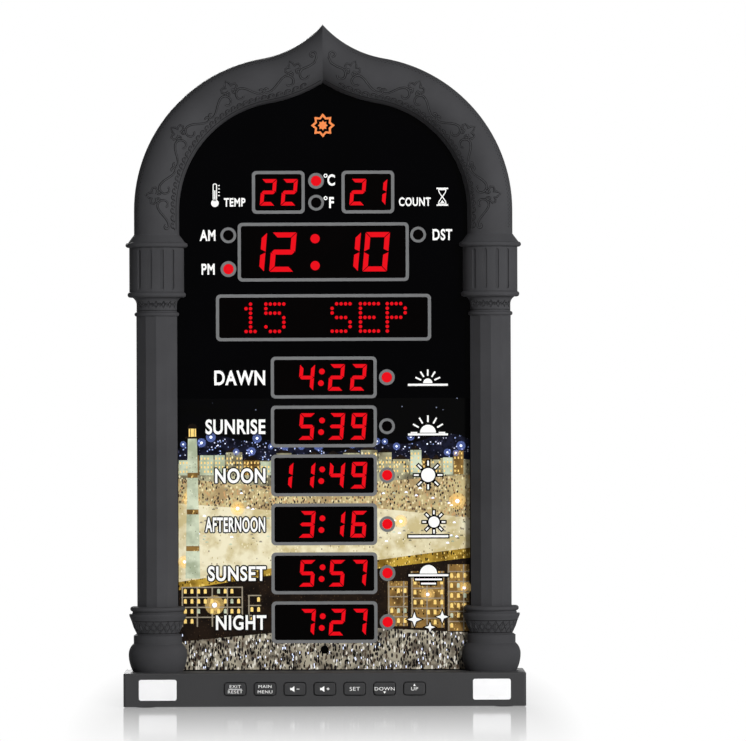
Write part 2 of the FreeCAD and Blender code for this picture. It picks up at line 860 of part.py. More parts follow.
def make_panel():
    """The black acrylic display panel, behind the mouldings."""
    body = new_body("display_panel")
    face = front_sketch(body, "panel_outline", s.parting_plane)
    ogee_outline(face, s.panel_inset, base_top)
    pad(body, face, s.panel_thickness, reverse=True)


def make_back_cover():
    """The rear shell, with screw posts, standoffs, a grille and two keyholes."""
    body = new_body("back_cover")
    shell = front_sketch(body, "cover_outline", s.parting_plane)
    ogee_outline(shell, s.cover_inset, base_top)
    pad(body, shell, base_back - s.parting_plane, reverse=True)
    dress(body, "Chamfer", s.cover_edge, back_rim)
    inside = front_sketch(body, "cover_hollow", s.parting_plane)
    ogee_outline(inside, s.cover_inset + s.wall, base_top - s.wall)
    pocket(body, inside, cover_floor - s.parting_plane)
    posts = front_sketch(body, "screw_posts", s.parting_plane)
    circles(posts, cover_posts, s.post_radius)
    pad(body, posts, cover_floor - s.parting_plane, reverse=True)
    through = front_sketch(body, "screw_holes", s.parting_plane)
    circles(through, cover_posts, clear_radius)
    pocket(body, through, s.post_seat)
    wells = front_sketch(body, "screw_wells", s.parting_plane + s.post_seat)
    circles(wells, cover_posts, s.post_counterbore)
    pocket(body, wells, base_back - s.parting_plane - s.post_seat)
    standoffs = front_sketch(body, "board_standoffs", board_back)
    circles(standoffs, board_posts, s.standoff_radius)
    pad(body, standoffs, cover_floor - board_back, reverse=True)
    pilots = front_sketch(body, "board_pilots", board_back)
    circles(pilots, board_posts, pilot_radius)
    pocket(body, pilots, cover_floor - board_back)
    grille = front_sketch(body, "speaker_grille", cover_floor)
    for number in range(int(float(s.grille_slots))):
        rise = s.grille_pitch * (number - (s.grille_slots - 1) / 2)
        half = square_root(s.grille_radius * s.grille_radius - rise * rise)
        level_slot(grille, s.speaker_z + rise, half - s.grille_slot, s.grille_slot)
    pocket(body, grille, s.wall)
    keyholes = front_sketch(body, "keyholes", cover_floor)
    for sign in (-1, 1):
        keyhole(keyholes, sign * s.keyhole_x)
    pocket(body, keyholes, s.wall)


def keyhole(sketch, x):
    """A round entry for a screw head, and a slot above it for the shank."""
    radius = s.keyhole_radius
    shank = s.keyhole_shank
    joint = s.keyhole_z + square_root(radius * radius - shank * shank)
    top = s.keyhole_z + s.keyhole_rise
    outline(sketch, [
        (x - shank, joint),
        (x, s.keyhole_z - radius, x, s.keyhole_z, ANTICLOCKWISE),
        (x + shank, joint, x, s.keyhole_z, ANTICLOCKWISE),
        (x + shank, top),
        (x - shank, top, x, top, ANTICLOCKWISE),
    ])


def back_rim(edge):
    """The outer edges of the cover's back, leaving out the one on the base."""
    low = min(point.Point.z for point in edge.Vertexes)
    high = max(point.Point.z for point in edge.Vertexes)
    return edges_at_depth(base_back)(edge) and high > float(base_top) + 1 and low >= float(base_top) - 1


def make_speaker():
    """A small loudspeaker behind the grille: basket, magnet and paper cone."""
    basket = new_body("speaker_basket")
    rim = side_sketch(basket, "basket_profile")
    flange = -1 * s.speaker_flange
    plate = -1 * s.basket_depth
    inside = s.speaker_radius - 3 * s.speaker_flange
    outline(rim, [
        (0, inside),
        (0, s.speaker_radius),
        (flange, s.speaker_radius),
        (flange, inside + s.speaker_wall),
        (plate + s.speaker_flange, s.basket_neck),
        (plate, s.basket_neck),
        (plate, 0),
        (plate + s.speaker_wall, 0),
        (plate + s.speaker_wall, s.basket_neck - s.speaker_flange),
        (plate + s.speaker_flange, s.basket_neck - s.speaker_flange),
        (flange, inside),
    ])
    revolve(basket, rim, axis="H_Axis")
    magnet = new_body("speaker_magnet")
    disc = front_sketch(magnet, "magnet_face", plate)
    circles(disc, [(0, 0)], s.magnet_radius)
    pad(magnet, disc, s.magnet_depth)
    cone = new_body("speaker_cone")
    paper = side_sketch(cone, "cone_profile")
    front = -1 * s.cone_paper
    deep = -1 * s.cone_depth
    outline(paper, [
        (front, inside),
        (front, s.cone_radius - s.cone_paper),
        (deep, s.cone_neck),
        (deep + s.cone_paper, 0),
        (deep, 0),
        (deep - s.cone_paper, s.cone_neck),
        (front - s.cone_paper / 2, s.cone_radius),
        (front - s.cone_paper / 2, inside),
    ])
    revolve(cone, paper, axis="H_Axis")
    for piece in (basket, magnet, cone):
        place(piece, 0, cover_floor, s.speaker_z)


def make_main_board():
    """The main board, on the back cover's standoffs."""
    body = new_body("main_board")
    face = front_sketch(body, "main_board_face", board_front)
    rectangle(face, -1 * s.board_half_width, s.board_half_width, s.board_bottom, s.board_top)
    pad(body, face, s.board_thickness, reverse=True)
    holes = front_sketch(body, "main_board_holes", board_front)
    circles(holes, board_posts, clear_radius)
    pocket(body, holes, s.board_thickness)


def make_display(label, places, width, rise, z, digits):
    """A display module with a shallow well for each digit."""
    body = new_body(label)
    face = front_sketch(body, f"{label}_face", module_front)
    for x in places:
        rectangle(face, x - width / 2, x + width / 2, z - rise / 2, z + rise / 2)
    pad(body, face, s.module_depth, reverse=True)
    wells = front_sketch(body, f"{label}_wells", module_front)
    pitch = width / digits
    half_share = s.digit_share / 2
    for x in places:
        for number in range(digits):
            middle = x + pitch * (number - (digits - 1) / 2)
            rectangle(wells, middle - half_share * pitch, middle + half_share * pitch,
                      z - half_share * rise, z + half_share * rise)
    pocket(body, wells, s.digit_well)


def make_displays():
    make_display("temperature_display", [-1 * s.small_module_x], s.small_module_width,
                 s.small_module_rise, s.small_module_z, 2)
    make_display("countdown_display", [s.small_module_x], s.small_module_width,
                 s.small_module_rise, s.small_module_z, 2)
    make_display("time_display", [as_formula(0)], s.time_module_width,
                 s.time_module_rise, s.time_module_z, 4)
    count = int(float(s.dot_module_count))
    places = [s.dot_module_side * (number - (count - 1) / 2) for number in range(count)]
    make_display("date_display", places, s.dot_module_side - s.dot_module_gap,
                 s.dot_module_side, s.dot_module_z, 1)
    for number, name in enumerate(ROWS):
        make_display(f"{name}_display", [as_formula(0)], s.row_module_width,
                     s.row_module_rise, row_height(number), 4)


def row_height(number):
    return s.row_module_z - number * s.row_pitch


def make_lamps():
    """The round indicator lamps beside the displays."""
    body = new_body("indicator_leds")
    faces = front_sketch(body, "lamp_faces", module_front)
    lamps = [(s.row_lamp_x, row_height(number)) for number in range(len(ROWS))]
    lamps += [(s.unit_lamp_x, s.unit_lamp_low), (s.unit_lamp_x, s.unit_lamp_high)]
    lamps += [(-1 * s.noon_lamp_x, s.noon_lamp_low), (-1 * s.noon_lamp_x, s.noon_lamp_high)]
    lamps += [(s.noon_lamp_x, s.noon_lamp_high)]
    circles(faces, lamps, s.lamp_radius)
    pad(body, faces, s.module_depth, reverse=True)
    dress(body, "Chamfer", s.lamp_edge, edges_at_depth(module_front))


def make_receiver():
    """The remote control's receiver: a block with a round window."""
    body = new_body("ir_receiver")
    half = s.receiver_width / 2
    block = front_sketch(body, "receiver_block", module_front + s.receiver_dome)
    rectangle(block, -1 * half, half, s.receiver_z - half, s.receiver_z + half)
    pad(body, block, s.module_depth - s.receiver_dome, reverse=True)
    dome = front_sketch(body, "receiver_dome", module_front + s.receiver_dome)
    circles(dome, [(0, s.receiver_z)], s.receiver_dome)
    pad(body, dome, s.receiver_dome)
    dress(body, "Fillet", s.receiver_dome / 2, edges_at_depth(module_front))


def make_cell():
    """The coin cell that keeps the time, and its holder on the main board."""
    holder = new_body("coin_cell_holder")
    cup = front_sketch(holder, "holder_cup", board_back)
    circles(cup, [(s.cell_x, s.cell_z)], s.cell_radius + s.holder_wall)
    pad(holder, cup, s.holder_rise, reverse=True)
    well = front_sketch(holder, "holder_well", board_back + s.holder_floor)
    circles(well, [(s.cell_x, s.cell_z)], s.cell_radius + s.fit_gap / 2)
    pocket(holder, well, s.holder_rise - s.holder_floor)
    cell = new_body("coin_cell")
    disc = front_sketch(cell, "cell_face", board_back + s.holder_floor)
    circles(disc, [(s.cell_x, s.cell_z)], s.cell_radius)
    pad(cell, disc, s.cell_thickness, reverse=True)


def make_chips():
    """The packages on the back of the main board: name, x, z, width and rise."""
    low = board_back
    high = board_back + s.chip_thickness
    chips = [
        ("controller", -20, 150, 14, 14),
        ("display_driver_low", -20, 100, 8, 18),
        ("display_driver_middle", -20, 200, 8, 18),
        ("display_driver_high", -20, 250, 8, 18),
        ("sound_memory", 15, 150, 6, 5),
        ("audio_amplifier", 10, 285, 10, 5),
        ("clock_chip", 20, 110, 5, 5),
        ("voltage_regulator", 30, 50, 10, 9),
    ]
    members = []
    for name, x, z, width, rise in chips:
        members.append(box_between(
            name, (as_formula(x - width / 2), as_formula(x + width / 2)), (low, high),
            (s.board_bottom + z - rise / 2, s.board_bottom + z + rise / 2)))
    group("control_chips", members)


def make_thermistor():
    """The room temperature sensor, a bead on the back of the main board."""
    piece = cylinder_to_back("thermistor", s.thermistor_x, s.thermistor_z, board_back,
                             board_back + s.thermistor_length, s.thermistor_radius)
    parts.append(piece)


def make_jack():
    """The power inlet: a block inside the rear wall, its nose through it, and a pin."""
    body = new_body("dc_jack")
    inner = base_back - s.wall
    half = s.jack_width / 2
    block = front_sketch(body, "jack_block", inner)
    rectangle(block, s.jack_x - half, s.jack_x + half, s.jack_height - half, s.jack_height + half)
    pad(body, block, s.jack_depth)
    nose = front_sketch(body, "jack_nose", inner)
    circles(nose, [(s.jack_x, s.jack_height)], s.jack_nose_radius)
    pad(body, nose, s.wall - s.fit_gap, reverse=True)
    bore = front_sketch(body, "jack_socket", base_back - s.fit_gap)
    circles(bore, [(s.jack_x, s.jack_height)], s.jack_bore)
    pocket(body, bore, s.jack_bore_depth, reverse=True)
    pin = front_sketch(body, "jack_pin", base_back - s.fit_gap - s.jack_bore_depth)
    circles(pin, [(s.jack_x, s.jack_height)], s.jack_pin)
    pad(body, pin, s.jack_pin_length, reverse=True)


def make_leads():
    """The ribbon between the boards, the supply wires and the speaker wires."""
    ribbon = new_body("ribbon_cable")
    strip = side_sketch(ribbon, "ribbon_path", -1 * s.ribbon_width / 2)
    start = s.key_board_y + s.board_thickness
    low = s.ribbon_height
    high = s.ribbon_end
    thick = s.ribbon_thickness
    outline(strip, [
        (start, low),
        (ribbon_y + thick, low),
        (ribbon_y + thick, high),
        (board_back, high),
        (board_back, high - thick),
        (ribbon_y, high - thick),
        (ribbon_y, low + thick),
        (start, low + thick),
    ])
    pad(ribbon, strip, s.ribbon_width)
    wires = []
    for number, sign in enumerate((-1, 1)):
        wires.append(cylinder_to_back(
            f"supply_wire_{number}", s.jack_x - s.jack_width / 4 + sign * s.lead_half_pitch,
            s.jack_height, start, base_back - s.wall - s.jack_depth, s.lead_radius))
    group("power_leads", wires)
    pair = [speaker_wire(number, sign) for number, sign in enumerate((-1, 1))]
    group("speaker_leads", pair)


def speaker_wire(number, sign):
    """A wire from the speaker's flange down to the back of the main board."""
    x = float(sign * s.lead_half_pitch)
    flange = float(cover_floor - s.speaker_flange)
    lane = flange - float(s.lead_bend + s.lead_radius) / 2
    top = float(s.speaker_z - s.speaker_radius) + float(s.lead_bend)
    low = float(s.board_top) - 3 * float(s.lead_bend)
    board = float(board_back)
    bend = min(lane - board, flange - lane, float(s.lead_bend)) * 0.9
    corners = [
        FreeCAD.Vector(x, flange, top),
        FreeCAD.Vector(x, lane, top),
        FreeCAD.Vector(x, lane, low),
        FreeCAD.Vector(x, board, low),
    ]
    section = Part.Wire(Part.Circle(corners[0], corners[1] - corners[0],
                                    float(s.lead_radius)).toShape())
    piece = doc.addObject("Part::Feature", f"speaker_wire_{number}")
    piece.Shape = rounded_path(corners, bend).makePipeShell([section], True, False)
    return piece


def rounded_path(corners, bend):
    """Straight runs joined by tangent arcs of one radius, for square turns."""
    edges = []
    start = corners[0]
    for before, corner, after in zip(corners, corners[1:], corners[2:]):
        inward = (corner - before).normalize()
        onward = (after - corner).normalize()
        first = corner - inward * bend
        last = corner + onward * bend
        middle = corner + (onward - inward) * (bend * (1 - math.sqrt(0.5)))
        edges.append(Part.LineSegment(start, first).toShape())
        edges.append(Part.Arc(first, middle, last).toShape())
        start = last
    edges.append(Part.LineSegment(start, corners[-1]).toShape())
    return Part.Wire(edges)


def screw_set(label, places, seat, sketch_at, head_reverse, head_rise, reach):
    """Screws of one kind: a head on one side of the seat and a shank on the other."""
    body = new_body(label)
    head = sketch_at(body, f"{label}_heads", seat)
    circles(head, places, s.screw_head_radius)
    pad(body, head, head_rise, reverse=head_reverse)
    shank = sketch_at(body, f"{label}_shanks", seat)
    circles(shank, places, s.screw_radius)
    pad(body, shank, reach, reverse=not head_reverse)


def make_screws():
    shank = s.screw_length - s.screw_head
    screw_set("back_cover_screws", cover_posts, s.parting_plane + s.post_seat,
              front_sketch, True, s.screw_head, shank)
    screw_set("board_screws", board_posts, board_front,
              front_sketch, False, s.screw_head, cover_floor - board_front - s.screw_tip_gap)
    screw_set("base_screws", cover_screws, s.foot_proud + bottom_seat,
              level_sketch, True, s.flat_head, shank)
    screw_set("column_screws", [(sign * s.column_x, 0) for sign in (-1, 1)],
              base_top - s.base_top_wall, level_sketch, True, s.screw_head, shank)


def check_document():
    """Stop if any feature failed or any piece has no sound solid."""
    for thing in doc.Objects:
        if {"Invalid", "Error"} & set(thing.State):
            raise RuntimeError(f"{thing.Name} failed: {thing.State}")
    for piece in parts:
        if piece.Shape.isNull() or not piece.Shape.isValid() or not piece.Shape.Solids:
            raise RuntimeError(f"{piece.Label} has no valid solid")


doc = FreeCAD.newDocument("azan_clock")
s = make_sheet()
parts = []

# Depths and heights that several pieces share
clock_front = -1 * s.clock_depth / 2
base_front = clock_front + s.button_proud
base_back = s.clock_depth / 2
base_top = s.foot_proud + s.base_rise
base_floor = s.foot_proud + s.bottom_plate
base_inside_x = s.base_width / 2 - s.wall
bottom_seat = s.bottom_plate / 2
shaft_bottom = base_top + s.pedestal_rise
shaft_top = shaft_bottom + s.shaft_rise
arch_spring = shaft_top + s.capital_rise
arch_z = arch_spring + s.arch_leg
arch_x = s.column_x + s.tube_radius - s.arch_radius
arc_distance = s.arch_radius + s.reverse_radius
reverse_x = arch_x + arc_distance * sine(s.lean_angle)
reverse_z = arch_z + arc_distance * cosine(s.lean_angle)
module_front = s.parting_plane + s.panel_thickness + s.module_gap
board_front = module_front + s.module_depth
board_back = board_front + s.board_thickness
cover_floor = base_back - s.wall
ribbon_y = board_back + s.ribbon_bend

# Screws
pilot_radius = s.screw_radius + s.screw_gap
clear_radius = s.screw_radius + s.fit_gap
arch_screw_x = arch_x + (s.arch_radius - s.tube_radius) * sine(s.arch_screw_angle)
arch_screw_z = arch_z + (s.arch_radius - s.tube_radius) * cosine(s.arch_screw_angle)
cover_screw_x = s.base_width / 2 - s.cover_screw_inset
cover_screws = [(x * cover_screw_x, y * s.cover_screw_y) for x in (-1, 1) for y in (-1, 1)]
cover_posts = [(sign * s.column_x, height) for sign in (-1, 1)
               for height in (s.low_screw_height, s.high_screw_height)]
cover_posts += [(sign * arch_screw_x, arch_screw_z) for sign in (-1, 1)]
post_heights = [s.board_bottom + s.standoff_margin, (s.board_bottom + s.board_top) / 2,
                s.board_top - s.standoff_margin]
board_posts = [(sign * s.standoff_x, height) for sign in (-1, 1) for height in post_heights]
foot_x = s.base_width / 2 - s.foot_inset
plate_x = s.base_width / 2 - s.plate_inset
feet = [(x * foot_x, y * s.foot_y) for x in (-1, 1) for y in (-1, 1)]

# Buttons
button_places = [s.button_pitch * (number - (len(BUTTONS) - 1) / 2) for number in range(len(BUTTONS))]
flange_front = base_front + s.wall + s.fit_gap
switch_front = s.key_board_y - s.switch_depth
plunger_front = switch_front + s.plunger_engaged - s.plunger_length

# Arc centres of the turned profiles
low_torus_run = s.torus_radius - s.torus_bottom_radius
low_torus_x = s.torus_radius - (low_torus_run * low_torus_run
                                + s.torus_middle * s.torus_middle) / (2 * low_torus_run)
high_torus_run = s.torus_radius - s.band_radius
high_torus_rise = s.torus_top - s.torus_middle
high_torus_x = s.torus_radius - (high_torus_run * high_torus_run
                                 + high_torus_rise * high_torus_rise) / (2 * high_torus_run)
neck_run = s.neck_top_radius - s.neck_radius
neck_rise = (s.neck_top - s.astragal_top) / 2
ring_round = (s.ring_top - s.neck_top) / 2
crown_round = (s.crown_top - s.drum_top) / 2
rim_round = s.rim_thickness / 2
neck_arc = (neck_run * neck_run + neck_rise * neck_rise) / (2 * neck_run)

make_arch_frame()
for side, sign in SIDES:
    make_capital(side, sign)
    make_shaft(side, sign)
    make_pedestal(side, sign)
    make_name_plate(side, sign)
make_base_housing()
make_bottom_cover()
make_feet()
for name, x in zip(BUTTONS, button_places):
    make_button(name, x)
    make_plunger(name, x)
make_key_board()
make_panel()
make_back_cover()
make_speaker()
make_main_board()
make_displays()
make_lamps()
make_receiver()
make_cell()
make_chips()
make_thermistor()
make_jack()
make_leads()
make_screws()
doc.recompute()
check_document()

os.makedirs("parts", exist_ok=True)
for piece in parts:
    piece.Shape.exportStep(f"parts/{piece.Label}.step")
print(len(parts), "nodes")
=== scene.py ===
"""Looks of an upright electronic clock with six daily times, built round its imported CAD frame.

Lengths are in millimetres and colours in screen values from 0 to 255, unless a name or comment
says otherwise. MM turns millimetres into Blender's metres.
"""
import json
import math
import random

import bmesh
import bpy
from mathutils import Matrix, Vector


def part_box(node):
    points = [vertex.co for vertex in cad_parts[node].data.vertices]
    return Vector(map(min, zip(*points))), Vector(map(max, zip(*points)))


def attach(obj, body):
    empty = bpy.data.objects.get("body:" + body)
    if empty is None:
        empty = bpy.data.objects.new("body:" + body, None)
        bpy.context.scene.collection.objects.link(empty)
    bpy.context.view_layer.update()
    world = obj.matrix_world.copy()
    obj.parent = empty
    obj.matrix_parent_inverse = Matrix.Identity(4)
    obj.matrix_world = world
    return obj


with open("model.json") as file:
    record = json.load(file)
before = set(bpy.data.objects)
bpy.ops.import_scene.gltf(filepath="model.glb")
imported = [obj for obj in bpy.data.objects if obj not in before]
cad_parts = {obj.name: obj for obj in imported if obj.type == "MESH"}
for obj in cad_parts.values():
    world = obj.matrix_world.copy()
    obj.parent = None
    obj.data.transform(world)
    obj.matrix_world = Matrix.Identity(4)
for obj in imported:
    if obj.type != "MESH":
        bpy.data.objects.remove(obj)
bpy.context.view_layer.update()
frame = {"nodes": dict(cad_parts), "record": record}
MM = 0.001
TAU = 2 * math.pi

# The photograph's frame in pixels, and what one pixel measures at the base's front face
PHOTO_WIDTH = 746
PHOTO_MIDDLE_X = 373
PHOTO_MIDDLE_Y = 370.5
CLOCK_MIDDLE_X = 323.7
BASE_BOTTOM_Y = 706.5
PIXEL_MM = 0.5955
BASE_BOTTOM_MM = 0.6
CAMERA_ROLL = math.radians(0.2)
CAMERA_DISTANCE = 3.0           # metres


# Materials

NOISE_SPAN = (0.3, 0.7)         # the part of a noise that its colours are spread over
GLOSS_SPREAD = 0.05
GLOSS_LEAST = 0.02
WEAR_RADIUS = 0.0004            # metres
WEAR_SPAN = (0.75, 0.97)
WORN_BRIGHTNESS = 2.6
BUMP_STRENGTH = 0.35


def linear(colour):
    """A shader colour from screen values."""
    shares = [value / 255 for value in colour]
    return (*(share / 12.92 if share <= 0.04045 else ((share + 0.055) / 1.055) ** 2.4
              for share in shares), 1)


def shade(colour, share):
    return tuple(min(1, part * share) for part in colour[:3]) + (1,)


def grey(value):
    """A shader grey of one linear level."""
    return value, value, value, 1


def feed(tree, socket, value):
    """Links an output to an input socket, or sets a plain value on it."""
    if isinstance(value, bpy.types.NodeSocket):
        tree.links.new(value, socket)
    else:
        socket.default_value = value


def set_inputs(tree, node, **inputs):
    """Feeds a node's inputs by their names, with _ for a space."""
    for name, value in inputs.items():
        feed(tree, node.inputs[name.replace("_", " ")], value)


def add_node(tree, kind, **inputs):
    node = tree.nodes.new(f"ShaderNode{kind}")
    set_inputs(tree, node, **inputs)
    return node


def math_node(tree, kind, operation, *values):
    """A Math or VectorMath node's outputs, from values for its inputs in order."""
    node = add_node(tree, kind)
    node.operation = operation
    for socket, value in zip(node.inputs, values):
        feed(tree, socket, value)
    return node.outputs


def noise_node(tree, scale, detail=4.0):
    place = add_node(tree, "TexCoord").outputs["Object"]
    return add_node(tree, "TexNoise", Vector=place, Scale=scale, Detail=detail).outputs["Fac"]


def ramp_node(tree, source, positions, colours, interpolation="LINEAR"):
    ramp = add_node(tree, "ValToRGB", Fac=source)
    stops = ramp.color_ramp.elements
    while len(stops) < len(positions):
        stops.new(0.5)
    for stop, position, colour in zip(stops, positions, colours):
        stop.position = position
        stop.color = colour
    ramp.color_ramp.interpolation = interpolation
    return ramp.outputs["Color"]


def mix_node(tree, share, first, second):
    return add_node(tree, "MixRGB", Fac=share, Color1=first, Color2=second).outputs["Color"]


def new_material(name, **inputs):
    """A material, its node tree and its shader, with some of the shader's inputs set."""
    material = bpy.data.materials.new(name)
    material.use_nodes = True
    tree = material.node_tree
    shader = tree.nodes["Principled BSDF"]
    set_inputs(tree, shader, **inputs)
    return material, tree, shader


def surface(name, colour, roughness=0.4, variation=0.12, variation_scale=60, grain_scale=2500,
            grain_mm=0.01, wear=0.0, metallic=0.0, specular=0.5, glow=None, glow_strength=1.0):
    """A principled material with uneven colour, uneven gloss, fine grain and worn edges."""
    material, tree, shader = new_material(name, Metallic=metallic, Specular_IOR_Level=specular)
    base = linear(colour)
    uneven = noise_node(tree, variation_scale)
    tint = ramp_node(tree, uneven, NOISE_SPAN,
                     (shade(base, 1 - variation), shade(base, 1 + variation)))
    gloss = ramp_node(tree, uneven, NOISE_SPAN, (grey(max(GLOSS_LEAST, roughness - GLOSS_SPREAD)),
                                                 grey(roughness + GLOSS_SPREAD)))
    if wear:
        bevel = add_node(tree, "Bevel", Radius=WEAR_RADIUS)
        bevel.samples = 4
        match = math_node(tree, "VectorMath", "DOT_PRODUCT", bevel.outputs["Normal"],
                          add_node(tree, "NewGeometry").outputs["Normal"])["Value"]
        edge = ramp_node(tree, match, WEAR_SPAN, (grey(wear), grey(0)))
        tint = mix_node(tree, edge, tint, shade(base, WORN_BRIGHTNESS))
    set_inputs(tree, shader, Base_Color=tint, Roughness=gloss)
    if grain_mm:
        bump = add_node(tree, "Bump", Strength=BUMP_STRENGTH, Distance=grain_mm * MM,
                        Height=noise_node(tree, grain_scale, 2.0))
        set_inputs(tree, shader, Normal=bump.outputs["Normal"])
    # Emission: real light of the lit LEDs, and painted glow on the picture's printed windows, lamps
    # and halos
    if glow:
        set_inputs(tree, shader, Emission_Color=linear(glow), Emission_Strength=glow_strength)
    return material


charcoal = surface("satin_charcoal", (65, 65, 67), 0.42, 0.10, 35, 2200, 0.015, wear=0.25,
                   specular=0.002)
# Painted highlight: the raised ornament is the frame's plastic, here made a little lighter
relief_painted_highlight = surface("relief_painted_highlight", (71, 71, 73), 0.42, 0.10, 90, 3000, specular=0.01)
# Painted shade: near-black bands where the ornament's grooves and cut lines are, in place of the
# shade on the frame's plastic
groove_painted_shade = surface("groove_painted_shade", (9, 9, 10), 0.7, 0.2, 200, specular=0.1)
base_charcoal = surface("base_charcoal", (56, 56, 57), 0.5, 0.06, 30, 2600, 0.02, wear=0.4,
                        specular=0.12)
button_charcoal = surface("button_charcoal", (50, 50, 51), 0.45, 0.08, 80, 3200, 0.02,
                          wear=0.5, specular=0.15)
panel_gloss = surface("panel_gloss", (1, 1, 2), 0.08, 0.3, 20, grain_mm=0, specular=0.02)
plate_white = surface("plate_white", (246, 246, 247), 0.3, 0.012, 60, 1500, 0.004)
print_white = surface("print_white", (250, 250, 248), 0.5, 0.02, 300, grain_mm=0)
print_black = surface("print_black", (1, 1, 1), 0.5, 0.2, 300, grain_mm=0, specular=0.02)
print_grey = surface("print_grey", (112, 113, 114), 0.5, 0.04, 200, grain_mm=0, specular=0.1)
window_black = surface("window_black", (1, 0, 0), 0.15, 0.3, 60, grain_mm=0, specular=0.02)
led_lit = surface("led_lit", (40, 0, 2), 0.5, 0.1, 400, grain_mm=0, specular=0.05,
                  glow=(232, 0, 18))
star_orange = surface("star_orange", (236, 126, 44), 0.5, 0.06, 200, grain_mm=0)

SLOT_LOOKS = {
    "frame_plastic": charcoal, "base_plastic": base_charcoal, "panel_black": panel_gloss,
    "plate_white": plate_white, "button_plastic": button_charcoal,
    "switch_plastic": surface("switch_dark", (26, 26, 28), 0.5, 0.1, 100),
    "board_laminate": surface("board_green", (22, 72, 44), 0.42, 0.2, 140, 1200, 0.02),
    "display_red": surface("display_red", (70, 10, 12), 0.35, 0.1, 120),
    "speaker_steel": surface("speaker_steel", (150, 150, 148), 0.35, 0.1, 90, metallic=1.0),
    "speaker_magnet": surface("magnet_black", (44, 43, 44), 0.5, 0.2, 120, 900, 0.05),
    "speaker_paper": surface("speaker_paper", (34, 33, 32), 0.9, 0.25, 500, 1800, 0.08),
    "lead_jacket": surface("lead_jacket", (150, 28, 26), 0.45, 0.15, 120),
    "screw_steel": surface("screw_steel", (170, 168, 164), 0.28, 0.12, 400, metallic=1.0),
    "foot_rubber": surface("rubber_dark", (30, 30, 30), 0.85, 0.15, 300, 1800, 0.05),
}
for part in frame["record"]["subparts"]:
    node_object = frame["nodes"][part["node"]]
    node_object.data.materials.clear()
    node_object.data.materials.append(SLOT_LOOKS[part["material_slot"]])


# Depths of what is printed or lit in front of the panel's face

PANEL_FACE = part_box("display_panel")[0][1] / MM
PRINT_DEPTH = PANEL_FACE - 0.05
BACKING_DEPTH = PRINT_DEPTH - 0.02
LAMP_DEPTH = PRINT_DEPTH - 0.03
WINDOW_DEPTH = PANEL_FACE - 0.10
DIGIT_DEPTH = PANEL_FACE - 0.14


# Mesh helpers. A flat print is a thin closed slab in front of its surface.

def add_object(name, data):
    made = bpy.data.objects.new(name, data)
    bpy.context.scene.collection.objects.link(made)
    return made


def finish_piece(name, mesh, looks, body="clock"):
    data = bpy.data.meshes.new(name)
    bmesh.ops.recalc_face_normals(mesh, faces=mesh.faces)
    mesh.to_mesh(data)
    mesh.free()
    piece = add_object(name, data)
    for look in looks:
        data.materials.append(look)
    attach(piece, body)


def add_loop(mesh, points, depth):
    return [mesh.verts.new((x * MM, depth * MM, z * MM)) for x, z in points]


def bridge(mesh, first, second, look=0):
    """Faces between two closed loops with the same number of corners."""
    for index, corner in enumerate(first):
        face = mesh.faces.new((first[index - 1], corner, second[index], second[index - 1]))
        face.material_index = look


def add_slab(mesh, points, front=WINDOW_DEPTH, back=PANEL_FACE, look=0):
    """A closed slab between two depths from outline points (x, z)."""
    near, far = add_loop(mesh, points, front), add_loop(mesh, points, back)
    for end in (near, far):
        mesh.faces.new(end).material_index = look
    bridge(mesh, near, far, look)


def add_ring(mesh, outer, inner):
    """A closed flat ring on the panel between two outlines with the same number of points."""
    loops = [add_loop(mesh, points, depth) for points, depth in (
        (outer, WINDOW_DEPTH), (inner, WINDOW_DEPTH), (inner, PANEL_FACE), (outer, PANEL_FACE))]
    for number, loop in enumerate(loops):
        bridge(mesh, loops[number - 1], loop)


def polar(x, z, radius, angle):
    return x + radius * math.cos(angle), z + radius * math.sin(angle)


def spiral(x, z, first, last, start, turn, steps):
    """Points of an arc about (x, z) whose radius runs from the first to the last."""
    shares = [step / steps for step in range(steps + 1)]
    return [polar(x, z, first + (last - first) * share, start + turn * share) for share in shares]


def circle_points(x, z, radius, count=40):
    return spiral(x, z, radius, radius, 0, TAU, count)[:-1]


def rounded_points(x, z, width, rise, radius, steps=6):
    points = []
    for quarter, (side, end) in enumerate(((1, 1), (-1, 1), (-1, -1), (1, -1))):
        points += spiral(x + side * (width / 2 - radius), z + end * (rise / 2 - radius), radius,
                         radius, quarter * math.pi / 2, math.pi / 2, steps)
    return points


def star_points(x, z, outer, inner, tips):
    return [polar(x, z, inner if step % 2 else outer, math.pi / 2 + math.pi * step / tips)
            for step in range(2 * tips)]


def bar_points(x, z, width, rise, edge=0):
    half, high = width / 2 + edge, rise / 2 + edge
    return [(x - half, z - high), (x + half, z - high), (x + half, z + high), (x - half, z + high)]


def node_centre(name):
    """Middle of a CAD node in x and z."""
    low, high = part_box(name)
    return (low[0] + high[0]) / 2 / MM, (low[2] + high[2]) / 2 / MM


def display_centre(display):
    return node_centre(f"{display}_display")


# Display windows: width and rise
ROWS = ("dawn", "sunrise", "noon", "afternoon", "sunset", "night")
WINDOWS = {"temperature": (31.7, 25.7), "countdown": (31.7, 25.7), "time": (102.8, 35.3),
           "date": (129.2, 28.1), **{row: (63.6, 25.1) for row in ROWS}}
WINDOW_STROKE = 1.9
WINDOW_CORNER = 2.7
PANE_CORNER = WINDOW_CORNER - WINDOW_STROKE * 0.7


def make_windows():
    frames, panes = bmesh.new(), bmesh.new()
    for display, (width, rise) in WINDOWS.items():
        x, z = display_centre(display)
        inner = rounded_points(x, z, width - 2 * WINDOW_STROKE, rise - 2 * WINDOW_STROKE,
                               PANE_CORNER)
        add_ring(frames, rounded_points(x, z, width, rise, WINDOW_CORNER), inner)
        add_slab(panes, inner, BACKING_DEPTH)
    finish_piece("window_frames", frames, [print_grey])
    finish_piece("window_panes", panes, [window_black])


# Lit readings: seven-segment digits and dot letters

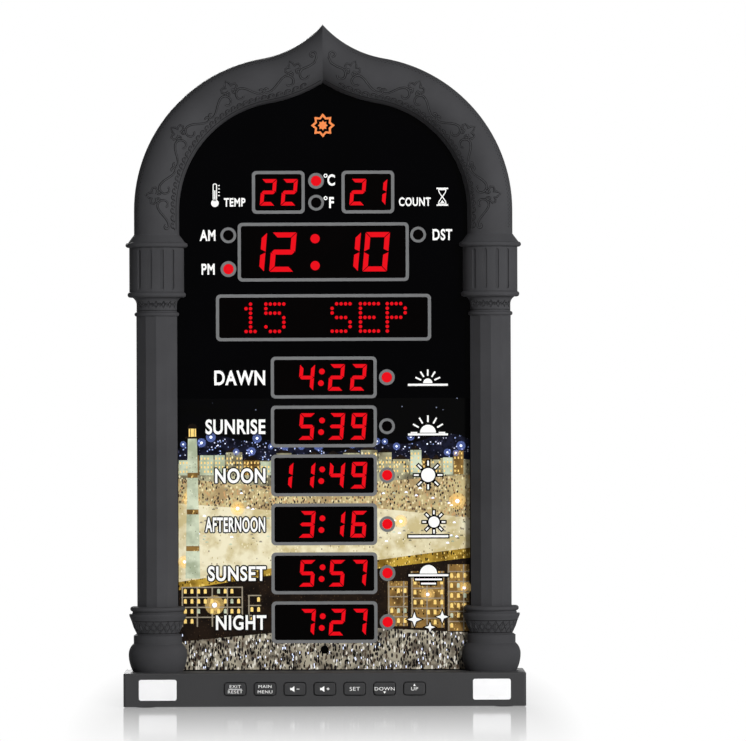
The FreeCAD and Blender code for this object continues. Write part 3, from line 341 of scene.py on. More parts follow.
SEGMENTS = {
    "0": "abcdef", "1": "bc", "2": "abged", "3": "abgcd", "4": "fgbc", "5": "afgcd",
    "6": "afgedc", "7": "abc", "8": "abcdefg", "9": "abcdfg",
}
DIGIT_SLANT = math.tan(math.radians(5))
SEGMENT_GAP = 0.28
# A digit's width, rise and stroke, and digit middles to the right of the window's middle
SMALL_SIZE = (9.0, 15.9, 2.2)
TIME_SIZE = (14.6, 23.6, 3.0)
SMALL_COLUMNS = (-6.0, 6.6)
ROW_COLUMNS = (-23.5, -10.3, 7.6, 20.8)
TIME_COLUMNS = (-42.0, -24.2, 14.4, 31.8)
# A colon's dots from the window's middle, and a dot's radius and number of sides
TIME_COLON = ((-4.9, 8.0), (-4.9, -8.2))
TIME_DOT = (2.8, 24)
ROW_COLON = ((-1.1, 3.6), (-1.7, -3.4))
ROW_DOT = (1.75, 20)
ROW_TIMES = (" 422", " 539", "1149", " 316", " 557", " 727")


def add_lit(mesh, points):
    add_slab(mesh, points, DIGIT_DEPTH, PRINT_DEPTH)


def finish_lit(name, mesh):
    finish_piece(name, mesh, [led_lit])


def segment_points(letter, width, rise, stroke):
    """One mitred bar of a digit, about the digit's middle."""
    side, top = width / 2, rise / 2
    if letter == "g":
        run = side - SEGMENT_GAP * 1.5
        tip = run - stroke / 2
        return [(-run, 0), (-tip, stroke / 2), (tip, stroke / 2), (run, 0), (tip, -stroke / 2),
                (-tip, -stroke / 2)]
    if letter in "ad":
        end = 1 if letter == "a" else -1
        return [(-side + SEGMENT_GAP, end * top), (side - SEGMENT_GAP, end * top),
                (side - stroke - SEGMENT_GAP, end * (top - stroke)),
                (-side + stroke + SEGMENT_GAP, end * (top - stroke))]
    hand = 1 if letter in "bc" else -1
    end = 1 if letter in "bf" else -1
    return [(hand * side, end * (top - SEGMENT_GAP)), (hand * side, end * SEGMENT_GAP),
            (hand * (side - stroke), end * (stroke / 2 + SEGMENT_GAP)),
            (hand * (side - stroke), end * (top - stroke - SEGMENT_GAP))]


def make_reading(display, text, columns, size, colon=(), dot=None):
    mesh = bmesh.new()
    x, z = display_centre(display)
    for digit, shift in zip(text, columns):
        for letter in SEGMENTS.get(digit, ""):
            add_lit(mesh, [(x + shift + px + pz * DIGIT_SLANT, z + pz)
                           for px, pz in segment_points(letter, *size)])
    for shift, rise in colon:
        add_lit(mesh, circle_points(x + shift, z + rise, *dot))
    finish_lit(f"{display}_digits", mesh)


def make_digits():
    make_reading("temperature", "22", SMALL_COLUMNS, SMALL_SIZE)
    make_reading("countdown", "21", SMALL_COLUMNS, SMALL_SIZE)
    make_reading("time", "1210", TIME_COLUMNS, TIME_SIZE, TIME_COLON, TIME_DOT)
    for row, text in zip(ROWS, ROW_TIMES):
        make_reading(row, text, ROW_COLUMNS, SMALL_SIZE, ROW_COLON, ROW_DOT)


# Dot letters, seven rows of five, and where each letter's left column is
DOT_LETTERS = {
    "1": "00100 01100 00100 00100 00100 00100 01110",
    "5": "11111 10000 11110 00001 00001 10001 01110",
    "S": "01111 10000 10000 01110 00001 00001 11110",
    "E": "11111 10000 10000 11110 10000 10000 11111",
    "P": "11110 10001 10001 11110 10000 10000 10000",
}
DOT_LEFTS = {"1": -49.2, "5": -34.6, "S": 5.2, "E": 22.2, "P": 38.3}
DOT_ACROSS, DOT_DOWN = 2.69, 2.74
DATE_DOT = (1.05, 14)


def make_date():
    mesh = bmesh.new()
    x, z = display_centre("date")
    for letter, left in DOT_LEFTS.items():
        for level, row in enumerate(DOT_LETTERS[letter].split()):
            for column, lit in enumerate(row):
                if lit == "1":
                    add_lit(mesh, circle_points(x + left + column * DOT_ACROSS,
                                                z + (3 - level) * DOT_DOWN, *DATE_DOT))
    finish_lit("date_dots", mesh)


# Indicator lamps: x from the middle, the display they are level with, z from there, whether lit

LAMP_RING = (4.75, 3.15)
LAMP_DOT = (3.1, 28)
RECEIVER_SPOT = (2.45, 32)
HEAD_LAMPS = ((-4.2, "temperature", 6.8, True), (-4.2, "temperature", -6.3, False),
              (-57, "time", 10.2, False), (-57, "time", -10.1, True), (57, "time", 10.2, False))
ROW_LAMP_X = 37.9
ROW_LAMPS_LIT = (True, False, True, True, True, True)


def lamp_places():
    middle = display_centre("time")[0]
    places = [(middle + shift, display_centre(display)[1] + rise, lit)
              for shift, display, rise, lit in HEAD_LAMPS]
    for row, lit in zip(ROWS, ROW_LAMPS_LIT):
        x, z = display_centre(row)
        places.append((x + ROW_LAMP_X, z, lit))
    return places


def make_lamps():
    rings, lit_dots, dark_dots, spot = (bmesh.new() for _ in range(4))
    for x, z, lit in lamp_places():
        outer, inner = LAMP_RING
        add_ring(rings, circle_points(x, z, outer), circle_points(x, z, inner))
        add_slab(lit_dots if lit else dark_dots, circle_points(x, z, *LAMP_DOT), LAMP_DEPTH)
    add_slab(spot, circle_points(*node_centre("ir_receiver"), *RECEIVER_SPOT), DIGIT_DEPTH)
    finish_piece("lamp_rings", rings, [print_grey])
    finish_lit("lamps_lit", lit_dots)
    finish_piece("lamps_dark", dark_dots, [window_black])
    finish_piece("receiver_spot", spot, [window_black])


# Lettering

LETTER_DEPTH = 0.004            # in the font's own units, as is the capitals' height
CAPITAL_SHARE = 0.69
LETTER_SPACE = 1.1
LETTER_STANDS = 3.0             # how far letters stand out for each unit of their depth
EDGE = 0.75
EDGE_COPIES = 8


def text_mesh(name, text, bold):
    """Upright letters as a mesh in the text object's own units, with their middle at no height."""
    curve = bpy.data.curves.new(name, "FONT")
    curve.body = text
    curve.align_x = "CENTER"
    curve.offset = bold
    curve.space_character = LETTER_SPACE
    curve.extrude = LETTER_DEPTH
    carrier = add_object(name, curve)
    bpy.context.view_layer.update()
    data = bpy.data.meshes.new_from_object(
        carrier.evaluated_get(bpy.context.evaluated_depsgraph_get()))
    bpy.data.objects.remove(carrier)
    bpy.data.curves.remove(curve)
    return data


def text_piece(name, text, x, z, rise, look=print_white, body="clock", depth=WINDOW_DEPTH,
               squeeze=0.78, bold=0.03, reach=None, edge=0, slot="panel_black"):
    """Generic words as a thin mesh; rise is the capitals' height.

    With a reach, they end at x and are squeezed to fit in it; otherwise x is their middle.
    """
    data = text_mesh(name, text, bold)
    scale = rise / CAPITAL_SHARE
    places = [vertex.co.copy() for vertex in data.vertices]
    width = max(place.x for place in places) - min(place.x for place in places)
    if reach:
        squeeze = min(squeeze, reach / (width * scale))
        x -= width * scale * squeeze / 2
    mesh = bmesh.new()
    for across, up in circle_points(x, z, edge, EDGE_COPIES) if edge else [(x, z)]:
        for vertex, place in zip(data.vertices, places):
            vertex.co = Vector((across + place.x * scale * squeeze, depth - place.z * LETTER_STANDS,
                                up + (place.y - CAPITAL_SHARE / 2) * scale)) * MM
        mesh.from_mesh(data)
    bpy.data.meshes.remove(data)
    finish_piece(name, mesh, [look], body)


# Row words end this far left of the row's middle, in this rise and reach
ROW_WORD_RIGHT = 35.2
ROW_WORD_RISE = 8.2
ROW_WORD_REACH = 36.0
# Small words: display they are level with, place from there, rise and squeeze
SIDE_WORDS = (("AM", "time", -69.2, 10.2, 6.2, 0.7), ("PM", "time", -69.2, -10.1, 6.2, 0.7),
              ("DST", "time", 71.4, 10.2, 6.2, 0.7),
              ("TEMP", "temperature", -53.2, -5.9, 4.8, 0.72),
              ("COUNT", "temperature", 55.0, -5.9, 4.8, 0.72))
DEGREE_WORDS = (("celsius", 7.3), ("fahrenheit", -6.2))
DEGREE_LETTER_X = 4.9
DEGREE_RING_PLACE = (1.5, 2.6)
DEGREE_RING = (1.2, 0.6)


def make_words():
    for row in ROWS:
        x, z = display_centre(row)
        place = (row.upper(), x - ROW_WORD_RIGHT, z, ROW_WORD_RISE)
        text_piece(f"word_edge_{row}", *place, print_black, depth=BACKING_DEPTH,
                   reach=ROW_WORD_REACH, edge=EDGE)
        text_piece(f"word_{row}", *place, reach=ROW_WORD_REACH)
    middle = display_centre("time")[0]
    for word, display, x, shift, rise, squeeze in SIDE_WORDS:
        z = display_centre(display)[1] + shift
        text_piece(f"mark_{word.lower()}", word, middle + x, z, rise, squeeze=squeeze)
    for word, shift in DEGREE_WORDS:
        z = display_centre("temperature")[1] + shift
        text_piece(f"mark_{word}", word[0].upper(), middle + DEGREE_LETTER_X, z, 6.2, squeeze=0.75)
        ring = bmesh.new()
        ring_x, ring_z = DEGREE_RING_PLACE
        add_ring(ring, *(circle_points(middle + ring_x, z + ring_z, radius, 20)
                         for radius in DEGREE_RING))
        finish_piece(f"degree_{word}", ring, [print_white])


# Icons: the sun over the horizon for each daily time, white with a black edge

RAY_HALF = 0.5
ICON_X = 62.5
HORIZON = (24, 1.3)
DISC_SIDES = 28
DOME_STEPS = 20
STAR_WAIST = 0.36


def disc_shape(x, z, radius, edge):
    return circle_points(x, z, radius + edge, DISC_SIDES)


def dome_shape(x, z, radius, edge=0):
    return [(x + (radius + edge) * math.cos(math.pi * step / DOME_STEPS),
             z - edge + (radius + 2 * edge) * math.sin(math.pi * step / DOME_STEPS))
            for step in range(DOME_STEPS + 1)]


def ray_shape(x, z, angle, inner, outer, edge):
    along = Vector(polar(0, 0, 1, angle))
    side = Vector((-along.y, along.x)) * (RAY_HALF + edge)
    ends = (along * (inner - edge), along * (outer + edge))
    points = [ends[0] - side, ends[1] - side, ends[1] + side, ends[0] + side]
    return [(x + point.x, z + point.y) for point in points]


def star_shape(x, z, size, edge):
    return star_points(x, z, size + 2 * edge, size * STAR_WAIST + edge, 4)


def rays(x, z, inner, outer, first, last, count):
    """A sun's rays, spread evenly from the first angle to the last, in degrees."""
    angles = [math.radians(first + (last - first) * step / (count - 1)) for step in range(count)]
    return [(ray_shape, x, z, angle, inner, outer) for angle in angles]


ICONS = {
    "dawn": [(bar_points, 0, -4.6, *HORIZON), (dome_shape, 0, -3.6, 2.8),
             *rays(0, -3.6, 4.4, 8.2, 25, 155, 5)],
    "sunrise": [(bar_points, 0, -5.0, *HORIZON), (dome_shape, 0, -4.0, 4.8),
                *rays(0, -4.0, 6.4, 10.4, 0, 180, 7)],
    "noon": [(disc_shape, 0, 0, 4.2), *rays(0, 0, 5.6, 8.6, 0, 315, 8)],
    "afternoon": [(disc_shape, 3.4, 1.2, 3.3), *rays(3.4, 1.2, 4.6, 6.9, 0, 315, 8),
                  (bar_points, 0, -7.4, *HORIZON)],
    "sunset": [(bar_points, 0, -1.4, *HORIZON), (dome_shape, 0, -0.4, 5.2),
               (bar_points, 0, -3.9, 16, 1.1), (bar_points, 0, -6.4, 9, 1.1)],
    "night": [(star_shape, -8.5, 1.5, 4.4), (star_shape, 0.8, -3.2, 3.2),
              (star_shape, 8.2, 3.0, 3.8)],
}


def make_icons():
    for row, marks in ICONS.items():
        mesh = bmesh.new()
        x, z = display_centre(row)
        for shape, shift, rise, *sizes in marks:
            place = (x + ICON_X + shift, z + rise, *sizes)
            add_slab(mesh, shape(*place, 0), WINDOW_DEPTH, PRINT_DEPTH)
            add_slab(mesh, shape(*place, EDGE), BACKING_DEPTH, look=1)
        finish_piece(f"icon_{row}", mesh, [print_white, print_black])


# Marks at the head: places from the middle and the small windows' level

STAR_RISE = 76
STAR_RINGS = ((7.2, 5.2), (5.2, 3.8))
STAR_HEART = (3.0, 2.1)
STAR_TIPS = 8
THERMOMETER = (-65.0, -6.4)
BULB = (2.3, 24)
# The tube's and its bore's width, rise and corner, about this rise over the bulb
TUBE_RISE = 6.6
TUBE_SIZES = ((2.6, 10.6, 1.25, 4), (1.5, 9.4, 0.7, 4))
COLUMN_RISE = 4.6
COLUMN_SIZE = (0.7, 6.2)
SCALE_X, SCALE_PITCH, SCALE_SIZE = 2.4, 2.0, (1.2, 0.5)
HOURGLASS = (71.6, -3.0)
GLASS_END, GLASS_END_SIZE = 5.0, (7.0, 0.9)
GLASS_HALF = ([(-2.6, 4.5), (2.6, 4.5), (2.2, 2.6), (0.45, 0), (-0.45, 0), (-2.2, 2.6)],
              [(-1.9, 3.9), (1.9, 3.9), (1.6, 2.7), (0.1, 0.6), (-0.1, 0.6), (-1.6, 2.7)])
SAND = ((-1.7, -4.2), (1.7, -4.2), (0, -2.0))


def placed(points, x, z, end=1):
    return [(x + px, z + end * pz) for px, pz in points]


def make_head_marks():
    """A plain eight-point star over the windows, a thermometer and an hourglass."""
    middle, time_z = display_centre("time")
    small_z = display_centre("temperature")[1]
    star = bmesh.new()
    add_ring(star, *(star_points(middle, time_z + STAR_RISE, *radii, STAR_TIPS)
                     for radii in STAR_RINGS))
    add_slab(star, star_points(middle, time_z + STAR_RISE, *STAR_HEART, STAR_TIPS))
    finish_piece("head_star", star, [star_orange])
    marks = bmesh.new()
    x, z = middle + THERMOMETER[0], small_z + THERMOMETER[1]
    add_slab(marks, circle_points(x, z, *BULB))
    add_ring(marks, *(rounded_points(x, z + TUBE_RISE, *sizes) for sizes in TUBE_SIZES))
    add_slab(marks, bar_points(x, z + COLUMN_RISE, *COLUMN_SIZE))
    for step in range(4):
        add_slab(marks, bar_points(x + SCALE_X, z + COLUMN_RISE + SCALE_PITCH * step, *SCALE_SIZE))
    x, z = middle + HOURGLASS[0], small_z + HOURGLASS[1]
    for end in (1, -1):
        add_slab(marks, bar_points(x, z + end * GLASS_END, *GLASS_END_SIZE))
    for end in (-1, 1):
        add_ring(marks, *(placed(outline, x, z, end) for outline in GLASS_HALF))
    add_slab(marks, placed(SAND, x, z))
    finish_piece("head_marks", marks, [print_white])


make_windows()
make_digits()
make_date()
make_lamps()
make_words()
make_icons()
make_head_marks()


# The picture: a made-up harbour town at night, printed on the panel in thin layers

LAYER_MM = 0.004
PICTURE_SIDE = 87.5
PICTURE_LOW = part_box("display_panel")[0][2] / MM + 0.6
PICTURE_TOP = 184.0
PATCH_SPAN = (0.4, 0.62)        # the part of a noise that a ground's two tones are spread over
SPECK_FADE = 0.06


def add_print(mesh, points, layer, look=0):
    """A slab in one of the picture's layers; a higher layer lies nearer to the viewer."""
    add_slab(mesh, points, PANEL_FACE - LAYER_MM * (layer + 1), look=look)


def speckled(name, ground, other, specks, cell_mm, share, stretch=0.6, patch_mm=9.0):
    """A print of small upright specks over a two-tone ground; share is how full it is."""
    material, tree, shader = new_material(name, Roughness=0.4, Specular_IOR_Level=0.02)
    backing = ramp_node(tree, noise_node(tree, 1000 / patch_mm, 5.0), PATCH_SPAN,
                        (linear(ground), linear(other)))
    place = add_node(tree, "Mapping", Vector=add_node(tree, "TexCoord").outputs["Object"],
                     Scale=(1, 0, stretch)).outputs["Vector"]
    cells = add_node(tree, "TexVoronoi", Vector=place, Scale=1000 / cell_mm).outputs
    inside = ramp_node(tree, cells["Distance"], (share, share + SPECK_FADE), (grey(1), grey(0)))
    palette = ramp_node(tree, add_node(tree, "SeparateColor", Color=cells["Color"]).outputs["Red"],
                        [number / len(specks) for number in range(len(specks))],
                        [linear(colour) for colour in specks], "CONSTANT")
    set_inputs(tree, shader, Base_Color=mix_node(tree, inside, backing, palette))
    return material


# A see-through glowing disc round a printed lamp: painted glow on the print
def halo(name, colour, share):
    material = surface(name, colour, 0.6, 0.02, 400, grain_mm=0, specular=0, glow=colour,
                       glow_strength=0.5)
    material.node_tree.nodes["Principled BSDF"].inputs["Alpha"].default_value = share
    return material


CREAM = (206, 190, 140)
BRIGHT = (240, 232, 200)
TAN = (172, 148, 104)
UMBER = (34, 25, 18)
INK = (10, 9, 10)
NIGHT = (1, 1, 2)
night_sky = speckled("night_sky", (1, 1, 1), NIGHT, [(150, 160, 190), NIGHT, NIGHT], 4.2, 0.05, 1.0)
far_hill = speckled("far_hill", (8, 9, 18), (26, 28, 46),
                    [(170, 190, 250), (70, 70, 96), INK, (225, 228, 255)], 1.6, 0.24, 1.0, 5.0)
town_wall = speckled("town_wall", (176, 172, 140), (112, 106, 84),
                     [(240, 232, 190), (60, 54, 44), (206, 200, 160)], 1.5, 0.3)
market = speckled("market", CREAM, (170, 146, 104),
                  [(96, 74, 58), (236, 224, 180), TAN, (52, 44, 40), (204, 160, 110)], 1.15, 0.42)
open_square = speckled("open_square", BRIGHT, CREAM, [(140, 120, 90), CREAM, BRIGHT, BRIGHT],
                       1.7, 0.18)
gold_quay = speckled("gold_quay", (196, 160, 62), (120, 92, 30), [(240, 214, 120), UMBER], 1.3, 0.3)
dark_timber = speckled("dark_timber", UMBER, (20, 15, 12), [(84, 64, 44), INK, (58, 46, 36)],
                       1.0, 0.16)
ochre_wall = speckled("ochre_wall", (150, 116, 62), (92, 68, 36),
                      [(244, 210, 130), UMBER, (200, 168, 100)], 1.4, 0.26)
crowd_floor = speckled("crowd_floor", (180, 172, 152), (104, 96, 84),
                       [INK, (40, 36, 38), (232, 228, 216), (84, 68, 56), (24, 20, 22)],
                       1.25, 0.46, 0.45, 6.0)
pale_stone = speckled("pale_stone", (214, 222, 196), (168, 178, 150),
                      [(240, 244, 226), (120, 126, 104)], 1.6, 0.12)
beam_print = surface("beam_print", (150, 140, 122), 0.5, 0.25, 500, grain_mm=0, specular=0.05)
# Printed lit windows that also glow: painted glow, since the print is no lamp
warm_window_painted_glow = surface("warm_window_painted_glow", (250, 214, 128), 0.5, 0.1, 700, grain_mm=0, specular=0.05,
                      glow=(120, 92, 40), glow_strength=0.6)
# Printed lamps and their halos that glow: painted glow, since the print is no lamp
lamp_white_painted_glow = surface("lamp_white_painted_glow", (240, 244, 255), 0.5, 0.02, 500, grain_mm=0, specular=0.05,
                     glow=(200, 210, 255), glow_strength=0.8)
cold_painted_glow_halo = halo("cold_painted_glow_halo", (140, 165, 255), 0.22)
warm_painted_glow_halo = halo("warm_painted_glow_halo", (255, 214, 130), 0.28)


def ridge_line(height, steps, wave):
    """An uneven top from the picture's right edge to its left edge."""
    shares = [step / steps for step in range(steps + 1)]
    return [(PICTURE_SIDE * (1 - 2 * share), height + wave * (
        math.sin(9.1 * share + 0.7) + 0.6 * math.sin(23.0 * share))) for share in shares]


def make_picture_grounds():
    """Strips from the picture's foot up to their tops, each over the one before."""
    side = PICTURE_SIDE
    strips = (
        (night_sky, [(side, PICTURE_TOP), (-side, PICTURE_TOP)]),
        (far_hill, ridge_line(157, 40, 3.5)),
        (town_wall, ridge_line(146, 60, 1.2)),
        (market, [(side, 138), (20, 133), (-30, 131), (-side, 136)]),
        (open_square, [(side, 112), (30, 118), (-20, 116), (-side, 121)]),
        (gold_quay, [(side, 94), (26, 86), (-18, 84), (-side, 74)]),
        (dark_timber, [(side, 88), (26, 81), (-18, 80), (-side, 69)]),
        (crowd_floor, [(side, 43), (10, 47), (-side, 38)]),
    )
    mesh = bmesh.new()
    for layer, (_, top) in enumerate(strips):
        add_print(mesh, [(-side, PICTURE_LOW), (side, PICTURE_LOW), *top], layer, layer)
    finish_piece("picture_grounds", mesh, [look for look, _ in strips])


# The town's looks in order, and where each of them stands in it
# Among these, the printed windows and lamps glow as painted light
TOWN_LOOKS = [warm_window_painted_glow, beam_print, dark_timber, ochre_wall, town_wall, pale_stone, lamp_white_painted_glow,
              print_black]
WINDOW_PAINTED_GLOW, BEAM, TIMBER, OCHRE, WALL, STONE, LAMP_PAINTED_GLOW, BLACK = range(len(TOWN_LOOKS))
HOUSE_FOOT = 138
HOUSE_GAP = 0.6
# Sheds: left, right, low, high and look
SHEDS = ((-86, -49, 47, 71, TIMBER), (-46, -38, 48, 66, TIMBER), (52, 72, 46, 80, OCHRE),
         (74, 87, 44, 84, OCHRE), (38, 50, 47, 74, OCHRE))
ARCH_HALF, ARCH_HALF_RISE = 0.85, 1.4
NEAR_LAMPS = ((-80, 124, 1.2), (-52, 118, 1.0), (80, 122, 1.2), (46, 110, 0.9), (-66, 60, 1.4),
              (62, 66, 1.0), (84, 70, 1.0), (-84, 86, 0.9))


def add_houses(mesh, draw):
    """A row of houses with printed lit windows that glow as painted light, some of them with
    gables.
    """
    x = -PICTURE_SIDE
    while x < PICTURE_SIDE - 6:
        width = min(draw.uniform(5, 12), PICTURE_SIDE - x)
        top = HOUSE_FOOT + 8 + draw.uniform(0, 7)
        rise, front = top - HOUSE_FOOT, width - HOUSE_GAP
        wall = bar_points(x + width / 2, HOUSE_FOOT + rise / 2, front, rise)
        add_print(mesh, wall, 8, draw.choice((OCHRE, WALL, STONE)))
        for column in range(int(width / 2)):
            for level in range(int((rise - 1) / 2.6)):
                if draw.random() < 0.7:
                    height = HOUSE_FOOT + 2.2 + 2.6 * level
                    add_print(mesh, bar_points(x + 1.2 + 2 * column, height, 0.8, 1.3), 9)
        if draw.random() < 0.45:
            add_print(mesh, [(x, top), (x + front, top), (x + front / 2, top + 3)], 8, TIMBER)
        x += width


def add_arch_window(mesh, x, z, look):
    foot = [(x - ARCH_HALF, z - ARCH_HALF_RISE), (x + ARCH_HALF, z - ARCH_HALF_RISE)]
    head = spiral(x, z + ARCH_HALF_RISE - ARCH_HALF, ARCH_HALF, ARCH_HALF, 0, math.pi, 6)
    add_print(mesh, foot + head, 11, look)


def add_sheds(mesh, draw):
    """Quay sheds with beams, posts and rows of arched windows, some of which glow as painted light.
    """
    for left, right, low, high, look in SHEDS:
        x, z, width, rise = (left + right) / 2, (low + high) / 2, right - left, high - low
        add_print(mesh, bar_points(x, z, width, rise), 8, look)
        for level in range(int(rise / 6)):
            height = low + 3.4 + 6 * level
            add_print(mesh, bar_points(x, height + 2.3, width, 0.7), 9, BEAM)
            for column in range(int(width / 4)):
                lit = draw.random()
                if lit < 0.62:
                    add_arch_window(mesh, left + 2.4 + 4 * column, height,
                                    WINDOW_PAINTED_GLOW if lit < 0.5 else STONE)
        for column in range(int(width / 9) + 1):
            add_print(mesh, bar_points(left + 0.6 + 9 * column, z, 0.8, rise), 10, BEAM)


def add_crowd(mesh, draw):
    """Stalls beside the open square, and people on the floor before it; some of them take the lamp
    print, which glows as painted light.
    """
    for _ in range(150):
        x, z = draw.uniform(-85, 85), draw.uniform(96, 130)
        if abs(x) >= 32:
            add_print(mesh, [(x - 1.0, z), (x + 1.0, z), (x + 0.5, z + 0.9), (x - 0.5, z + 0.9)], 8,
                      draw.choice((BEAM, WALL, STONE, LAMP_PAINTED_GLOW)))
    for _ in range(420):
        x, z = draw.uniform(-86, 86), PICTURE_LOW + 1 + draw.uniform(0, 1) ** 1.2 * 20
        add_print(mesh, bar_points(x, z, 0.5, draw.uniform(0.9, 1.7)), 9,
                  draw.choice((TIMBER, TIMBER, BLACK, LAMP_PAINTED_GLOW)))


def make_picture_lamps(draw):
    """A far row of printed lamps, the larger with a halo, and near lamps with two halos each; lamps
    and halos glow as painted light.
    """
    mesh = bmesh.new()
    far_count = 34
    for number in range(far_count):
        x = -84 + 168 * number / (far_count - 1) + draw.uniform(-2, 2)
        z = draw.uniform(150, 162)
        size = draw.uniform(0.35, 0.9)
        add_print(mesh, circle_points(x, z, size, 10), 10)
        if size > 0.5:
            add_print(mesh, circle_points(x, z, size * 3.4, 18), 9, 1)
    for x, z, size in NEAR_LAMPS:
        add_print(mesh, circle_points(x, z, size, 14), 11)
        for spread, layer in ((2.4, 9.5), (4.2, 8.5)):
            add_print(mesh, circle_points(x, z, size * spread, 22), layer, 2)
    finish_piece("picture_lamps", mesh, [lamp_white_painted_glow, cold_painted_glow_halo, warm_painted_glow_halo])


def make_picture_town(seed):
    """Houses, quay sheds, stalls, people and lamps, from one fixed seed."""
    draw = random.Random(seed)
    mesh = bmesh.new()
    add_houses(mesh, draw)
    add_sheds(mesh, draw)
    add_crowd(mesh, draw)
    finish_piece("picture_town", mesh, TOWN_LOOKS)
    make_picture_lamps(draw)


def make_lighthouse():
    """A pale harbour light at the picture's left edge, left of the words."""
    mesh = bmesh.new()
    x = -79
    add_print(mesh, [(x - 4.4, 76), (x + 4.4, 76), (x + 2.7, 160), (x - 2.7, 160)], 12)
    for level in (94, 116, 138):
        add_print(mesh, bar_points(x, level, 8.4 - (level - 80) * 0.038, 3.0), 13, 1)
    add_print(mesh, bar_points(x, 160.6, 8.6, 1.2), 13, 2)
    # The lantern glows as painted light
    add_print(mesh, bar_points(x, 163.6, 4.4, 4.8), 13, 3)
    for shift in (-1.1, 1.1):
        add_print(mesh, bar_points(x + shift, 163.6, 0.35, 4.8), 14, 2)
    add_print(mesh, dome_shape(x, 166, 3.0), 13, 2)
    finish_piece("picture_lighthouse", mesh, [pale_stone, ochre_wall, dark_timber, warm_window_painted_glow])


make_picture_grounds()
make_picture_town(7)
make_lighthouse()


# Raised ornament on the mouldings, with near-black bands as painted shade in its grooves

RELIEF = 0.34
# Width and rise of the near-black band beside each raised line: painted shade of its groove
PAINTED_SHADE_BAND = 0.45
PAINTED_SHADE_BAND_RISE = 0.11
SINK = 0.12


def add_ribbon(mesh, path, width, place, height=PAINTED_SHADE_BAND_RISE, look=1, closed=False):
    """A low rounded band along surface points (u, v); place gives the 3-D point at a height. By
    default it takes the second look, the near-black painted shade of a groove.
    """
    rings = []
    count = len(path)
    for index, (u, v) in enumerate(path):
        before = path[index - 1] if index or closed else path[0]
        after = path[(index + 1) % count] if index < count - 1 or closed else path[-1]
        along = Vector((after[0] - before[0], after[1] - before[1])).normalized()
        side = Vector((-along.y, along.x)) * width / 2
        rings.append([mesh.verts.new(place(u + side.x * share, v + side.y * share, level))
                      for share, level in ((-1, -SINK), (-0.5, height), (0.5, height), (1, -SINK))])
    for index in range(count if closed else count - 1):
        bridge(mesh, rings[index], rings[(index + 1) % count], look)
    if not closed:
        for ring in (rings[0], rings[-1]):
            mesh.faces.new(ring).material_index = look


def add_petal(mesh, u, v, angle, length, width, place, look=0, height=RELIEF):
    """A leaf, raised along its middle, from its root at (u, v)."""
    steps = 8
    along = Vector(polar(0, 0, 1, angle))
    side = Vector((-along.y, along.x))
    rows = []
    for step in range(1, steps):
        share = step / steps
        half = width / 2 * math.sin(math.pi * share ** 0.8)
        middle = Vector((u, v)) + along * (length * share)
        crest = height * (0.6 + 0.9 * math.sin(math.pi * share))
        rows.append([mesh.verts.new(place(*(middle + side * half * across), level))
                     for across, level in ((-1, -SINK), (0, crest), (1, -SINK), (0, -SINK))])
    root = mesh.verts.new(place(u, v, -SINK))
    tip = mesh.verts.new(place(*(Vector((u, v)) + along * length), -SINK))
    for first, second in zip(rows, rows[1:]):
        bridge(mesh, first, second, look)
    for row, point in ((rows[0], root), (rows[-1], tip)):
        for edge, corner in enumerate(row):
            mesh.faces.new((row[edge - 1], corner, point)).material_index = look


def add_engraved(mesh, path, width, place, closed=False):
    """A raised line over a near-black band, painted shade of its groove, that shows along both its
    sides.
    """
    add_ribbon(mesh, path, width + 2 * PAINTED_SHADE_BAND, place, closed=closed)
    add_ribbon(mesh, path, width, place, RELIEF, 0, closed)


def add_leaf(mesh, u, v, angle, length, width, place):
    """A raised leaf over a near-black band, painted shade of the groove round it."""
    back = Vector(polar(0, 0, 1, angle)) * PAINTED_SHADE_BAND
    add_petal(mesh, u - back.x, v - back.y, angle, length + 2 * PAINTED_SHADE_BAND, width + 2 * PAINTED_SHADE_BAND, place,
              1, PAINTED_SHADE_BAND_RISE * 0.7)
    add_petal(mesh, u, v, angle, length, width, place)


def finish_relief(name, mesh):
    # Lighter plastic as painted highlight on the raised parts, near-black bands as painted shade in
    # the grooves
    finish_piece(name, mesh, [relief_painted_highlight, groove_painted_shade])


# The arch moulding's half-round tube: a leg, a large arc and a reversed arc
COLUMN_X = 100.0
TUBE_RADIUS = 13.5
ARCH_OUTER_RADIUS = 92.45
REVERSE_OUTER_RADIUS = 63.0
LEAN = math.radians(9.7)
LEG_RISE = 14.3
AXIS_RADIUS = ARCH_OUTER_RADIUS - TUBE_RADIUS
REVERSE_AXIS = REVERSE_OUTER_RADIUS + TUBE_RADIUS
ARCH_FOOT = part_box("arch_frame")[0][2] / MM
ARCH_SPRING = ARCH_FOOT + LEG_RISE
ARCH_CENTRE_X = COLUMN_X - AXIS_RADIUS
LARGE_ARC = math.pi / 2 - LEAN
REVERSE_X, REVERSE_Z = polar(ARCH_CENTRE_X, ARCH_SPRING, AXIS_RADIUS + REVERSE_AXIS, LARGE_ARC)
REVERSE_START = LEG_RISE + AXIS_RADIUS * LARGE_ARC


def arch_place(side):
    """Maps (distance along the moulding, distance round it, height) to the arch's face."""
    def place(u, v, height):
        lean = v / TUBE_RADIUS
        reach = (TUBE_RADIUS + height) * math.sin(lean)
        depth = -(TUBE_RADIUS + height) * math.cos(lean)
        if u < LEG_RISE:
            x, z = COLUMN_X + reach, ARCH_FOOT + u
        elif u < REVERSE_START:
            angle = (u - LEG_RISE) / AXIS_RADIUS
            x, z = polar(ARCH_CENTRE_X, ARCH_SPRING, AXIS_RADIUS + reach, angle)
        else:
            angle = LARGE_ARC + math.pi - (u - REVERSE_START) / REVERSE_AXIS
            x, z = polar(REVERSE_X, REVERSE_Z, REVERSE_AXIS - reach, angle)
        return side * x * MM, depth * MM, z * MM
    return place


